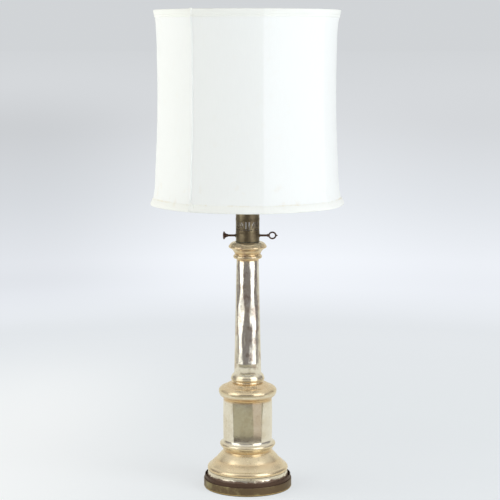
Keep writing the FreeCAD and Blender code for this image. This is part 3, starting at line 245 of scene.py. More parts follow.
def new_group(name, inputs, outputs):
    """Empty shader node group with named sockets; gives its tree, input sockets and output sockets."""
    tree = bpy.data.node_groups.new(name, "ShaderNodeTree")
    for title, default in inputs:
        socket = tree.interface.new_socket(title, in_out="INPUT", socket_type="NodeSocketFloat")
        socket.default_value = default
    for title in outputs:
        tree.interface.new_socket(title, in_out="OUTPUT", socket_type="NodeSocketFloat")
    entry = tree.nodes.new("NodeGroupInput")
    leave = tree.nodes.new("NodeGroupOutput")
    return tree, entry.outputs, leave.inputs


def use_group(tree, group, **values):
    """Place a node group; values are its input names in lower case."""
    node = tree.nodes.new("ShaderNodeGroup")
    node.node_tree = group
    for title, value in values.items():
        plug(tree, node.inputs[title.replace("_", " ").capitalize()], value)
    return node.outputs


def new_material(name, **settings):
    """Principled material; settings are socket names in lower case with underscores."""
    material = bpy.data.materials.new(name)
    material.use_nodes = True
    tree = material.node_tree
    shader = tree.nodes["Principled BSDF"]
    for title, value in settings.items():
        plug(tree, shader.inputs[title.replace("_", " ").title().replace("Ior", "IOR")], value)
    return material, tree, shader.inputs


# ---------------------------------------------------------------- shared effects

def make_tarnish():
    """Cloudy patches of tarnish with fine pitting."""
    inputs = [("Scale", 60.0), ("Cover", 0.5), ("Fade", 0.26)]
    tree, entry, leave = new_group("tarnish", inputs, ["Patches", "Pits"])
    spot, _ = place_xyz(tree)
    clouds = noise_node(tree, spot, entry["Scale"], detail=6.0, roughness=0.62)
    low = minus(tree, 0.78, entry["Cover"])
    high = plus(tree, low, entry["Fade"])
    plug(tree, leave["Patches"], remap(tree, clouds, low, high))
    fine = noise_node(tree, spot, times(tree, entry["Scale"], 14.0), detail=3.0, roughness=0.7)
    plug(tree, leave["Pits"], remap(tree, fine, 0.56, 0.72))
    return tree


def make_turned():
    """Fine rings left by turning and buffing round the upright axis."""
    tree, entry, leave = new_group("turned_rings", [("Pitch", 0.0006)], ["Height"])
    spot, _ = place_xyz(tree)
    across = stretch(tree, spot, (0.02, 0.02, 1.0))
    rate = math_node(tree, "DIVIDE", 1.0, entry["Pitch"])
    plug(tree, leave["Height"], noise_node(tree, across, rate, detail=2.0, roughness=0.6))
    return tree


def make_ragged_edge():
    """Mask that is 1 below a level and ends in a ragged, chipped line."""
    inputs = [("Level", 0.02), ("Fade", 0.001), ("Ragged", 0.003), ("Scale", 120.0)]
    tree, entry, leave = new_group("ragged_edge", inputs, ["Mask"])
    spot, axes = place_xyz(tree)
    chips = noise_node(tree, spot, entry["Scale"], detail=5.0, roughness=0.65)
    wander = times(tree, minus(tree, chips, 0.5), entry["Ragged"])
    height = plus(tree, axes["Z"], times(tree, wander, 2.0))
    low = minus(tree, entry["Level"], entry["Fade"])
    high = plus(tree, entry["Level"], entry["Fade"])
    plug(tree, leave["Mask"], remap(tree, height, low, high, 1.0, 0.0))
    return tree


def make_weave():
    """Plain weave round an upright drum: over and under threads, and the slub of single threads."""
    tree, entry, leave = new_group("plain_weave", [("Pitch", 0.0005), ("Drum", 0.145)], ["Height", "Slub"])
    _, axes = place_xyz(tree)
    turn = math_node(tree, "ARCTAN2", axes["Y"], axes["X"])
    across = math_node(tree, "DIVIDE", times(tree, turn, entry["Drum"]), entry["Pitch"])
    along = math_node(tree, "DIVIDE", axes["Z"], entry["Pitch"])
    warp = math_node(tree, "SINE", times(tree, across, math.pi))
    weft = math_node(tree, "SINE", times(tree, along, math.pi))
    plug(tree, leave["Height"], times(tree, warp, weft))
    threads = tree.nodes.new("ShaderNodeCombineXYZ")
    plug(tree, threads.inputs[0], times(tree, across, 0.35))
    plug(tree, threads.inputs[1], times(tree, along, 0.02))
    plug(tree, leave["Slub"], noise_node(tree, threads.outputs[0], 1.0, detail=3.0, roughness=0.6))
    return tree


def make_ripple():
    """Slow waves of hand-blown glass, longer up the column than round it."""
    tree, entry, leave = new_group("blown_ripple", [("Scale", 30.0), ("Quick", 0.12)], ["Height"])
    spot, _ = place_xyz(tree)
    long_way = stretch(tree, spot, (1.0, 1.0, 0.30))
    slow = noise_node(tree, long_way, entry["Scale"], detail=1.0, roughness=0.4)
    quick = noise_node(tree, long_way, times(tree, entry["Scale"], 3.1), detail=1.0, roughness=0.4)
    plug(tree, leave["Height"], plus(tree, slow, times(tree, quick, entry["Quick"])))
    return tree


TARNISH = make_tarnish()
TURNED = make_turned()
RAGGED_EDGE = make_ragged_edge()
WEAVE = make_weave()
RIPPLE = make_ripple()


# ---------------------------------------------------------------- finishes

def height_ramp(tree, height, stops):
    """Colour ramp over the height of the glass; stops are (millimetres, colour)."""
    top = stops[-1][0]
    share = math_node(tree, "DIVIDE", height, top * MM)
    return ramp(tree, share, [(level / top, colour) for level, colour in stops])


def silvered_glass():
    """Glass silvered on the inside: tinted mirror, worn and speckled, under a clear outer skin."""
    material, tree, shader = new_material(
        "silvered_glass", coat_weight=0.35, coat_roughness=0.06, coat_ior=1.5)
    spot, axes = place_xyz(tree)
    tint = height_ramp(tree, axes["Z"], [(level, colour) for level, colour, _ in SILVERING])
    satin = height_ramp(tree, axes["Z"], [(level, (share,) * 3) for level, _, share in SILVERING])

    on_column = remap(tree, axes["Z"], COLUMN_FOOT, COLUMN_FOOT + 20 * MM, 0.12, 1.0)
    clouds = use_group(tree, TARNISH, scale=38.0, cover=0.38)["Patches"]
    blush = use_group(tree, TARNISH, scale=60.0, cover=0.28, fade=0.16)["Patches"]
    grain = remap(tree, noise_node(tree, spot, 620.0, detail=3.0, roughness=0.75), 0.35, 0.65)
    specks = use_group(tree, TARNISH, scale=330.0, cover=0.145, fade=0.05)["Patches"]
    chips = use_group(tree, RAGGED_EDGE, level=CHIPPED_EDGE, fade=0.5 * MM, ragged=7.5 * MM, scale=120.0)
    worn = chips["Mask"]
    for share, colour in (
            (times(tree, clouds, 0.35), CLOUD_TAN),
            (times(tree, blush, times(tree, on_column, 0.55)), BLUSH_BROWN),
            (times(tree, grain, 0.14), GRAIN_GREY),
            (times(tree, specks, 0.7), SPECK_BROWN),
            (worn, WORN_BROWN)):
        tint = blend_colour(tree, share, tint, colour)
    plug(tree, shader["Base Color"], tint)

    dull = math_node(tree, "MAXIMUM", times(tree, satin, 0.18), times(tree, worn, 0.7))
    plug(tree, shader["Metallic"], minus(tree, 1.0, dull))
    rough = remap(tree, satin, 0.0, 1.0, 0.05, 0.24, smooth=False)
    rough = plus(tree, rough, times(tree, clouds, 0.05))
    plug(tree, shader["Roughness"], plus(tree, rough, times(tree, worn, 0.25)))

    waves = times(tree, use_group(tree, RIPPLE, scale=36.0, quick=0.16)["Height"], on_column)
    rippled = bump(tree, waves, distance=RIPPLE_DEPTH)
    column_grain = times(tree, grain, on_column)
    plug(tree, shader["Normal"], bump(tree, column_grain, distance=GRAIN_DEPTH, normal=rippled))
    return material


def bronze(name, dark, light, scale=45.0, roughness=0.36, edge_level=None, rim_level=None,
           inner_radius=None):
    """Patinated bronze, turned on a lathe; a worn brassy line up to edge_level, a dark reddish rim above
    rim_level that is patina and painted shade of the groove below it, and a pale inner wall within
    inner_radius that is cleaner metal and painted light seen through the holes, where these are given."""
    material, tree, shader = new_material(name, metallic=PATINA_METALLIC, specular_ior_level=0.5)
    patina = use_group(tree, TARNISH, scale=scale, cover=0.5)
    tint = blend_colour(tree, patina["Patches"], light, dark)
    deep = [0.35 * part for part in dark]
    tint = blend_colour(tree, times(tree, patina["Pits"], 0.5), tint, deep)
    if edge_level is not None:
        worn = use_group(tree, RAGGED_EDGE, level=edge_level, fade=0.5 * MM, ragged=0.8 * MM, scale=160.0)
        tint = blend_colour(tree, worn["Mask"], tint, RUBBED_BRASS)
    # Dark reddish rim: patina, and painted shade of the groove at the top of the band.
    if rim_level is not None:
        band = use_group(tree, RAGGED_EDGE, level=rim_level, fade=0.3 * MM, ragged=0.2 * MM, scale=200.0)
        tint = blend_colour(tree, band["Mask"], RIM_PATINA_AND_SHADE, tint)
    # Pale inner wall: cleaner metal, painted paler still as light seen through the burner's holes.
    if inner_radius is not None:
        _, axes = place_xyz(tree)
        wall, clear = inner_radius - 0.1 * MM, inner_radius + 0.2 * MM
        inside = remap(tree, axis_distance_squared(tree, axes), wall ** 2, clear ** 2, 1.0, 0.0)
        tint = blend_colour(tree, inside, tint, CLEAN_WALL_AND_PAINTED_LIGHT)
        metallic = remap(tree, inside, 0.0, 1.0, PATINA_METALLIC, 0.1, smooth=False)
        plug(tree, shader["Metallic"], metallic)
    plug(tree, shader["Base Color"], tint)
    rough = remap(tree, patina["Patches"], 0.0, 1.0, roughness - 0.05, roughness + 0.12)
    plug(tree, shader["Roughness"], rough)
    rings = use_group(tree, TURNED, pitch=TURNING_PITCH)["Height"]
    pits = bump(tree, patina["Pits"], distance=0.12 * MM, strength=0.6)
    plug(tree, shader["Normal"], bump(tree, rings, distance=0.06 * MM, strength=0.7, normal=pits))
    return material


def plated(name, colour, roughness, tarnish=0.3):
    """Plain plated or drawn metal with a little tarnish."""
    material, tree, shader = new_material(name, metallic=1.0)
    patina = use_group(tree, TARNISH, scale=80.0, cover=tarnish)
    plug(tree, shader["Base Color"],
         blend_colour(tree, patina["Patches"], colour, [0.55 * part for part in colour]))
    plug(tree, shader["Roughness"], remap(tree, patina["Patches"], 0.0, 1.0, roughness, roughness + 0.15))
    rings = use_group(tree, TURNED, pitch=0.4 * MM)["Height"]
    plug(tree, shader["Normal"], bump(tree, rings, distance=0.04 * MM, strength=0.6))
    return material


def cloth(name, colour, stain, pitch, stain_level=None, stain_share=0.5):
    """Woven cloth, with age stains along a level, and faint ones above it, where one is given."""
    material, tree, shader = new_material(
        name, roughness=0.85, sheen_weight=0.15, sheen_roughness=0.5, specular_ior_level=0.25)
    weave = use_group(tree, WEAVE, pitch=pitch)
    shade = remap(tree, weave["Slub"], 0.3, 0.7, 0.985, 1.0)
    spot, axes = place_xyz(tree)
    mottle = noise_node(tree, spot, 55.0, detail=5.0, roughness=0.6)
    soil = remap(tree, mottle, 0.56, 0.74)
    if stain_level is not None:
        gap = math_node(tree, "ABSOLUTE", minus(tree, axes["Z"], stain_level))
        near = remap(tree, gap, 0.2 * MM, 1.2 * MM, 1.0, 0.0)
        patchy = remap(tree, noise_node(tree, spot, 26.0, detail=6.0, roughness=0.72), 0.44, 0.66)
        line = times(tree, near, patchy)
        low_down = remap(tree, axes["Z"], stain_level + 8 * MM, stain_level + 45 * MM, 0.35, 0.08)
        soil = math_node(tree, "MAXIMUM", times(tree, soil, low_down), line)
    tint = blend_colour(tree, times(tree, soil, stain_share), colour, stain)
    tone = tree.nodes.new("ShaderNodeCombineColor")
    for channel in range(3):
        plug(tree, tone.inputs[channel], shade)
    plug(tree, shader["Base Color"], blend_colour(tree, 1.0, tint, tone.outputs[0], "MULTIPLY"))
    plug(tree, shader["Normal"], bump(tree, weave["Height"], distance=0.05 * MM, strength=0.5))
    return material


def felt():
    """Dark green-black felt with short loose fibres."""
    material, tree, shader = new_material("felt", roughness=0.95, sheen_weight=0.3)
    spot, _ = place_xyz(tree)
    fibres = noise_node(tree, spot, 900.0, detail=4.0, roughness=0.7)
    plug(tree, shader["Base Color"], blend_colour(tree, fibres, (0.020, 0.026, 0.020), (0.06, 0.07, 0.06)))
    plug(tree, shader["Normal"], bump(tree, fibres, distance=0.4 * MM, strength=0.8))
    return material


def moulded(name, dark, light, roughness, scale=400.0):
    """Moulded or fired material with a fine surface grain."""
    material, tree, shader = new_material(name)
    spot, _ = place_xyz(tree)
    grain = noise_node(tree, spot, scale, detail=3.0, roughness=0.6)
    plug(tree, shader["Base Color"], blend_colour(tree, grain, dark, light))
    plug(tree, shader["Roughness"], remap(tree, grain, 0.0, 1.0, roughness - 0.05, roughness + 0.08))
    plug(tree, shader["Normal"], bump(tree, grain, distance=0.05 * MM, strength=0.5))
    return material


def frosted_bulb():
    """Frosted glass of an unlit bulb, under its smooth outer face."""
    material, tree, shader = new_material("frosted_bulb", coat_weight=0.7, coat_roughness=0.05)
    spot, _ = place_xyz(tree)
    haze = noise_node(tree, spot, 60.0, detail=3.0, roughness=0.5)
    plug(tree, shader["Base Color"], blend_colour(tree, haze, (0.80, 0.80, 0.77), (0.90, 0.90, 0.88)))
    plug(tree, shader["Roughness"], remap(tree, haze, 0.2, 0.8, 0.38, 0.5))
    frost = noise_node(tree, spot, 1500.0, detail=2.0, roughness=0.6)
    plug(tree, shader["Normal"], bump(tree, frost, distance=0.03 * MM, strength=0.4))
    return material


def dress(material, *names):
    """Give CAD nodes a new finish."""
    for name in names:
        for material_slot in nodes[name].material_slots:
            material_slot.material = material


# ---------------------------------------------------------------- shade cloth

def spline_through(points):
    """Natural cubic spline through (x, y) points with rising x."""
    xs = [x for x, _ in points]
    ys = [y for _, y in points]
    count = len(xs)
    gaps = [xs[k + 1] - xs[k] for k in range(count - 1)]
    lift = [0.0] * count
    share = [0.0] * count
    for k in range(1, count - 1):
        pivot = 2.0 * (gaps[k - 1] + gaps[k]) - gaps[k - 1] * share[k - 1]
        share[k] = gaps[k] / pivot
        change = (ys[k + 1] - ys[k]) / gaps[k] - (ys[k] - ys[k - 1]) / gaps[k - 1]
        lift[k] = (6.0 * change - gaps[k - 1] * lift[k - 1]) / pivot
    for k in range(count - 2, -1, -1):
        lift[k] -= share[k] * lift[k + 1]

    def height_at(x):
        k = min(max(bisect_right(xs, x) - 1, 0), count - 2)
        before, after = (xs[k + 1] - x) / gaps[k], (x - xs[k]) / gaps[k]
        bend = (before ** 3 - before) * lift[k] + (after ** 3 - after) * lift[k + 1]
        return before * ys[k] + after * ys[k + 1] + bend * gaps[k] ** 2 / 6.0

    return height_at


def shade_profiles():
    """Rib radius and panel crown as functions of height."""
    height = SHADE_TOP
    radii, crowns = [], []
    for drop, radius, crown in SHADE_STATIONS:
        height -= drop * MM
        radii.insert(0, (height, radius * MM))
        crowns.insert(0, (height, crown * MM))
    return spline_through(radii), spline_through(crowns), height


rib_radius, panel_crown, SHADE_BOTTOM = shade_profiles()


def drum_radius(turn, height, inset=0.0):
    """Distance from the axis to the panelled surface at a turn from the front."""
    level = min(max(height, SHADE_BOTTOM), SHADE_TOP)
    radius = rib_radius(level) - inset
    crown = panel_crown(level)
    off_middle = (turn - FIRST_RIB_TURN) % PANEL_TURN - PANEL_TURN / 2
    half_chord = radius * math.sin(PANEL_TURN / 2)
    bow = (half_chord ** 2 + crown ** 2) / (2 * crown)
    centre = radius * math.cos(PANEL_TURN / 2) + crown - bow
    return centre * math.cos(off_middle) + math.sqrt(bow ** 2 - (centre * math.sin(off_middle)) ** 2)


def round_point(turn, distance, height):
    """Point at a turn from the front, plus towards the right, a distance from the axis and a height."""
    return Vector((distance * math.sin(turn), -distance * math.cos(turn), height))


def new_piece(name, points, faces, material, body="shade"):
    """Smooth mesh with a material, that rides on a body."""
    mesh = bpy.data.meshes.new(name)
    mesh.from_pydata(points, [], faces)
    mesh.materials.append(material)
    for face in mesh.polygons:
        face.use_smooth = True
    piece = bpy.data.objects.new(name, mesh)
    bpy.context.scene.collection.objects.link(piece)
    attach(piece, body)
    return piece


def grid_faces(columns, rows, closed):
    """Quads of a grid whose points run along the columns first; closed joins the last column to the first."""
    faces = []
    for row in range(rows - 1):
        for column in range(columns if closed else columns - 1):
            after = (column + 1) % columns
            faces.append((row * columns + column, row * columns + after,
                          (row + 1) * columns + after, (row + 1) * columns + column))
    return faces


def thicken(piece, thickness, offset=0.0):
    """Give a sheet an even thickness, laid outside it (offset 1), inside it (-1) or on both sides (0)."""
    skin = piece.modifiers.new("thickness", "SOLIDIFY")
    skin.thickness = thickness
    skin.offset = offset


def panel_turns(steps):
    """Turns round the drum, closer together near each rib."""
    turns = []
    for panel in range(PANELS):
        for step in range(steps):
            share = step / steps
            eased = share - 0.07 * math.sin(math.tau * share)
            turns.append(FIRST_RIB_TURN + (panel + eased) * PANEL_TURN)
    return turns


def make_drum_cloth(name, inset, top, bottom, material, pull):
    """Cloth stretched over the ribs; pull is the depth of its faint tension lines, deeper where the cloth is
    gathered near its edges."""
    turns = panel_turns(26)
    rows = 72
    gather = 40 * MM
    points = []
    for row in range(rows):
        height = bottom + (top - bottom) * row / (rows - 1)
        for turn in turns:
            distance = drum_radius(turn, height, inset)
            spot = round_point(turn, distance, height)
            wrinkle = noise.noise(Vector((spot.x * 55, spot.y * 55, height * 9)))
            ends = max(0.0, 1.0 - min(top - height, height - bottom) / gather)
            distance += pull * (0.35 + ends) * wrinkle
            points.append(round_point(turn, distance, height))
    piece = new_piece(name, points, grid_faces(len(turns), rows, True), material)
    thicken(piece, CLOTH_THICKNESS, 1.0 if inset == 0.0 else 0.0)
    return piece


def make_binding(name, profile, pucker, material):
    """Folded band swept round the drum; profile is (outward from the drum, height) from its hidden end on."""
    turns = panel_turns(36)
    points = []
    for outward, height in profile:
        for turn in turns:
            spot = round_point(turn, 1.0, height)
            crease = noise.noise(Vector((spot.x * 26, spot.y * 26, height * 300)))
            crease += 0.5 * noise.noise(Vector((spot.x * 90, spot.y * 90, height * 120)))
            distance = drum_radius(turn, height) + outward + pucker * crease * (outward > 0)
            points.append(round_point(turn, distance, height + 0.4 * pucker * crease))
    faces = grid_faces(len(turns), len(profile), True)
    return new_piece(name, points, faces, material)


def rounded(points, steps=4):
    """Smooth a chain of (across, up) points with a Catmull-Rom curve."""
    chain = []
    for k in range(len(points) - 1):
        before = points[max(k - 1, 0)]
        start, end = points[k], points[k + 1]
        after = points[min(k + 2, len(points) - 1)]
        for step in range(steps):
            t = step / steps
            chain.append(tuple(
                0.5 * (2 * start[i] + (end[i] - before[i]) * t
                       + (2 * before[i] - 5 * start[i] + 4 * end[i] - after[i]) * t * t
                       + (3 * start[i] - before[i] - 3 * end[i] + after[i]) * t ** 3)
                for i in range(2)))
    chain.append(points[-1])
    return chain


def make_seam(material):
    """Lapped seam of the cover down the rib where its ends meet."""
    section = [(-3.0, 0.0), (-1.8, 0.25), (-1.1, 0.5), (-0.7, 1.5), (0.1, 1.9), (0.8, 1.5), (1.0, 0.0)]
    rows = 64
    points = []
    for row in range(rows):
        height = SHADE_BOTTOM + (SHADE_TOP - SHADE_BOTTOM) * row / (rows - 1)
        sway = 0.5 * MM * noise.noise(Vector((3.0, 7.0, height * 22)))
        for across, raised in section:
            turn = JOIN_TURN + (across * MM + sway) / rib_radius(height)
            distance = drum_radius(turn, height) + raised * MM + 0.05 * MM
            points.append(round_point(turn, distance, height))
    seam = new_piece("shade_seam", points, grid_faces(len(section), rows, False), material)
    thicken(seam, 0.3 * MM)
    return seam


def make_tab(profile, material):
    """End of the upper binding, folded over the edge beside the seam."""
    section = [(-2.0, 0.0), (-1.95, 1.0), (-1.2, 1.6), (0.0, 1.7), (1.2, 1.6), (1.95, 1.0), (2.0, 0.0)]
    fold = 3 * MM
    beside_seam = 1.2 * MM
    points = []
    for outward, height in profile:
        above = max(0.0, (height - (SHADE_TOP - fold)) / fold) * 0.5
        for across, raised in section:
            turn = JOIN_TURN + (across * MM + beside_seam) / rib_radius(SHADE_TOP)
            distance = drum_radius(turn, height) + outward + raised * MM
            points.append(round_point(turn, distance, height + above * raised * MM))
    faces = grid_faces(len(section), len(profile), False)
    tab = new_piece("top_binding_tab", points, faces, material)
    thicken(tab, 0.3 * MM)
    return tab


def make_corner_fold(material):
    """End of the lower binding, turned under at a slant so that one corner stands up in a small peak."""
    columns, rows = 17, 15
    low = SHADE_BOTTOM + 0.6 * MM
    edge = SHADE_BOTTOM + 10.2 * MM
    peak = 3.8 * MM
    peak_place = 0.22
    width, beside_seam = 8.4 * MM, 0.6 * MM
    clear, fullness, lip_height = 1.35 * MM, 1.2 * MM, 0.9 * MM
    points = []
    for row in range(rows):
        up = row / (rows - 1)
        for column in range(columns):
            across = column / (columns - 1)
            if across < peak_place:
                rise = peak * (across / peak_place)
            else:
                rise = peak * ((1 - across) / (1 - peak_place))
            height = low + (edge + rise - low) * up
            turn = JOIN_TURN + (across * width - beside_seam) / rib_radius(SHADE_BOTTOM)
            swell = math.sin(math.pi * min(up * 1.04, 1.0)) ** 0.5 * fullness
            lip = lip_height * math.exp(-((across - 0.14) / 0.12) ** 2)
            outward = clear + swell + lip
            outward *= min(1.0, 6.0 * (1 - across)) ** 0.6
            points.append(round_point(turn, drum_radius(turn, height) + outward, height))
    faces = grid_faces(columns, rows, False)
    fold = new_piece("bottom_binding_fold", points, faces, material)
    thicken(fold, BINDING_THICKNESS)
    return fold


def make_column_roll(material):
    """Round shoulder of the glass bead from which the column rises."""
    profile = rounded([
        (24.0, 173.6), (25.9, 174.6), (25.7, 177.2), (24.4, 179.8), (22.6, 181.7), (21.0, 182.9)])
    points = [round_point(math.tau * step / COLUMN_STEPS, radius * MM, height * MM)
              for radius, height in profile for step in range(COLUMN_STEPS)]
    faces = grid_faces(COLUMN_STEPS, len(profile), True)
    roll = new_piece("column_roll", points, faces, material, body="stand")
    thicken(roll, 0.3 * MM, -1.0)


def band_profile(edge, way, shown):
    """Rounded outline of a folded band, as (outward from the drum, height), from its end behind the lining.
    way is 1 at the shade's upper edge and -1 at its lower; shown is in millimetres outward and past the edge.
    """
    inner = -LINING_INSET - 0.4 * MM
    outline = [(inner, -3.0), (inner, 0.1), (inner * 0.5, 0.7)]
    outline += [(outward * MM, past) for outward, past in shown]
    return rounded([(outward, edge + way * past * MM) for outward, past in outline])


def make_shade():
    """Cover, lining and two folded bindings, sewn over the wire frame."""
    cover_cloth = cloth(
        "shade_silk", colour=(0.90, 0.905, 0.89), stain=(0.78, 0.66, 0.46), pitch=THREAD_PITCH,
        stain_level=SHADE_BOTTOM + 10.7 * MM, stain_share=0.55)
    binding_cloth = cloth(
        "binding_silk", colour=(0.90, 0.90, 0.86), stain=(0.80, 0.70, 0.52), pitch=THREAD_PITCH,
        stain_level=SHADE_BOTTOM + 10.0 * MM, stain_share=0.6)
    lining_cloth = cloth(
        "lining_cotton", colour=(0.90, 0.90, 0.87), stain=(0.80, 0.76, 0.66), pitch=0.6 * MM)

    top, bottom = SHADE_TOP, SHADE_BOTTOM
    girth = math.tau * (rib_radius(bottom) + rib_radius(top)) / 2
    cover = make_drum_cloth("shade_cloth", 0.0, top, bottom, cover_cloth, 0.10 * MM)
    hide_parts("shade_cover")
    make_seam(cover_cloth)

    lining = make_drum_cloth(
        "lining_cloth", LINING_INSET, top, bottom, lining_cloth, 0.25 * MM)
    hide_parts("shade_lining")

    top_profile = band_profile(top, 1, [
        (-0.2, 0.8), (1.2, 0.1), (1.5, -3.0), (1.3, -6.6), (0.75, -7.7), (1.15, -8.6), (1.0, -10.3),
        (0.35, -10.9), (0.0, -10.6)])
    bottom_profile = band_profile(bottom, -1, [
        (-0.2, 0.8), (1.2, -0.2), (1.9, -3.0), (1.7, -7.0), (1.0, -9.6), (0.35, -10.4), (0.0, -10.1)])
    # The tab follows the upper band from over the shade's edge down to the band's last swell.
    tab = make_tab(top_profile[10:-9], binding_cloth)
    fold = make_corner_fold(binding_cloth)
    for name, profile, node, edge_level, extra in (
            ("top_binding", top_profile, "shade_top_trim", top, tab),
            ("bottom_binding", bottom_profile, "shade_bottom_trim", bottom, fold)):
        band = make_binding(name, profile, 0.16 * MM, binding_cloth)
        thicken(band, BINDING_THICKNESS)
        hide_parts(node)
        math.tau * rib_radius(edge_level)


# ---------------------------------------------------------------- stage

EYE_HEIGHT = CAMERA_PLACE[2]
EYE_DISTANCE = -CAMERA_PLACE[1]
# Pale sweep under and behind the lamp with its light and shade painted in, by the slope at which the camera
# # sees it: a dimmer top, a brighter middle and a painted shaded band where the paper curves up; slope,
# colour.
SWEEP = [
    (0.000, (0.640, 0.660, 0.680)),
    (0.049, (0.700, 0.720, 0.745)),
    (0.100, (0.800, 0.830, 0.870)),
    (0.138, (0.905, 0.935, 0.985)),
    (0.157, (0.870, 0.900, 0.950)),
    (0.178, (0.770, 0.800, 0.830)),
    (0.197, (0.780, 0.810, 0.835)),
    (0.230, (0.835, 0.870, 0.890)),
    (0.300, (0.890, 0.915, 0.935)),
]
NEAR_LEFT_PAINTED_LIGHT = (0.985, 1.0, 1.0)
PAPER_WHITE = (0.86, 0.885, 0.91)
PAINTED_FALLOFF_SHADE = (0.0, 0.0, 0.0)
WORLD_GREY = (0.38, 0.39, 0.40)
WARM_WHITE = (1.0, 1.0, 0.93)
COOL_WHITE = (0.96, 0.99, 1.0)

# The plain made-up room that polished surfaces reflect: its tones, where its openings lie as turns from the
# front, and how far from the axis the table ends.
ROOM_DARK = (0.23, 0.21, 0.20)
ROOM_OLIVE = (0.43, 0.40, 0.28)
ROOM_BEIGE = (0.60, 0.52, 0.41)
TABLE_SHADE = (0.10, 0.08, 0.065)
CARD_CREAM = (0.80, 0.77, 0.65)
# Painted glow of the two softboxes, laid on the far floor where polished surfaces see it.
SOFTBOX_PAINTED_GLOW = (1.0, 0.99, 0.93)
CEILING = (0.80, 0.77, 0.70)
FRONT_OPENING = math.radians(68)
SIDE_OPENING = math.radians(132)
BEIGE_START = math.radians(25)
TABLE_FRONT = 0.30
TABLE_SIDE = 0.45
TABLE_BACK = 2.30
EDGE_BLUR = 0.03

# The two softboxes that polished surfaces show.
LIGHT_DISTANCE = 1.75
LEFT_LIGHT_TURN = math.radians(-60)
LEFT_LIGHT_WIDE = 1.45
RIGHT_LIGHT_TURN = math.radians(47)
RIGHT_LIGHT_WIDE = 1.35


def front_turn(tree, axes):
    """Turn from the front, plus towards the right, of a place or direction."""
    return math_node(tree, "ARCTAN2", axes["X"], times(tree, axes["Y"], -1.0))


def room_colour(tree, turn, front_tone):
    """What polished metal sees of the room: a tone in front, beige to the right of it, pale at the back."""
    started = remap(tree, turn, BEIGE_START - EDGE_BLUR, BEIGE_START + EDGE_BLUR)
    not_ended = remap(tree, turn, FRONT_OPENING - EDGE_BLUR, FRONT_OPENING + EDGE_BLUR, 1.0, 0.0)
    beige = times(tree, started, not_ended)
    colour = blend_colour(tree, beige, front_tone, ROOM_BEIGE)
    side = math_node(tree, "ABSOLUTE", turn)
    back = remap(tree, side, SIDE_OPENING - 0.1, SIDE_OPENING + 0.1)
    return blend_colour(tree, back, colour, CARD_CREAM)


def in_lights(tree, turn):
    """1 where a turn from the front lies within one of the two softboxes that the metal shows."""
    shares = []
    for centre, wide in ((LEFT_LIGHT_TURN, LEFT_LIGHT_WIDE), (RIGHT_LIGHT_TURN, RIGHT_LIGHT_WIDE)):
        half = math.atan(wide / 2 / LIGHT_DISTANCE)
        off = math_node(tree, "ABSOLUTE", minus(tree, turn, centre))
        shares.append(remap(tree, off, half - 0.02, half + 0.02, 1.0, 0.0))
    return plus(tree, *shares)


def mix_shader(tree, share, first, second):
    node = tree.nodes.new("ShaderNodeMixShader")
    plug(tree, node.inputs[0], share)
    plug(tree, node.inputs[1], first)
    plug(tree, node.inputs[2], second)
    return node.outputs[0]


def emission(tree, colour):
    node = tree.nodes.new("ShaderNodeEmission")
    plug(tree, node.inputs["Color"], colour)
    return node.outputs[0]


def backdrop_colour(tree, axes, distance):
    """Painted light and shade of the sweep: its ramp over slope, painted shade far off at both sides, and a
    painted pool of light close by on the left.
    """
    from_eye = plus(tree, distance, EYE_DISTANCE)
    slope = math_node(tree, "DIVIDE", EYE_HEIGHT, from_eye)
    sideways = math_node(tree, "DIVIDE", axes["X"], from_eye)
    leftward = remap(tree, sideways, -0.14, -0.01, 1.0, 0.0)
    rightward = remap(tree, sideways, 0.03, 0.15)
    # Painted shade: the sweep darkens far off at both sides.
    far_off = times(tree, remap(tree, slope, 0.02, 0.06), remap(tree, slope, 0.145, 0.175, 1.0, 0.0))
    falloff = plus(tree, times(tree, leftward, 0.15), times(tree, rightward, 0.06))
    colour = blend_colour(tree, times(tree, far_off, falloff), ramp(tree, slope, SWEEP), PAINTED_FALLOFF_SHADE)
    # Painted pool of light on the floor close by on the left.
    close_by = times(tree, remap(tree, slope, 0.18, 0.24), leftward)
    return blend_colour(tree, close_by, colour, NEAR_LEFT_PAINTED_LIGHT)


def reflected_colour(tree, axes, distance):
    """What polished metal sees in the sweep: a pale table, its shaded edge, and the room's floor beyond, with
    a painted glow of the two softboxes on it.
    """
    turn = front_turn(tree, axes)
    side = math_node(tree, "ABSOLUTE", turn)
    front_reach = remap(tree, side, FRONT_OPENING - 0.06, FRONT_OPENING + 0.06, TABLE_FRONT, TABLE_SIDE)
    back_reach = remap(tree, side, FRONT_OPENING, SIDE_OPENING, 0.0, TABLE_BACK - TABLE_SIDE, smooth=False)
    beyond = minus(tree, distance, plus(tree, front_reach, back_reach))
    table = blend_colour(tree, remap(tree, beyond, -0.01, 0.01), CARD_CREAM, TABLE_SHADE)
    near = remap(tree, distance, 0.65, 0.95, 1.0, 0.0)
    front_tone = blend_colour(tree, times(tree, near, near), ROOM_DARK, ROOM_OLIVE)
    room = room_colour(tree, turn, front_tone)
    # Painted glow of the two softboxes on the far floor, which polished surfaces show as bright bands.
    lit = times(tree, remap(tree, distance, 1.02, 1.10), in_lights(tree, turn))
    room = blend_colour(tree, lit, room, SOFTBOX_PAINTED_GLOW)
    return blend_colour(tree, remap(tree, beyond, 0.03, 0.06), table, room)


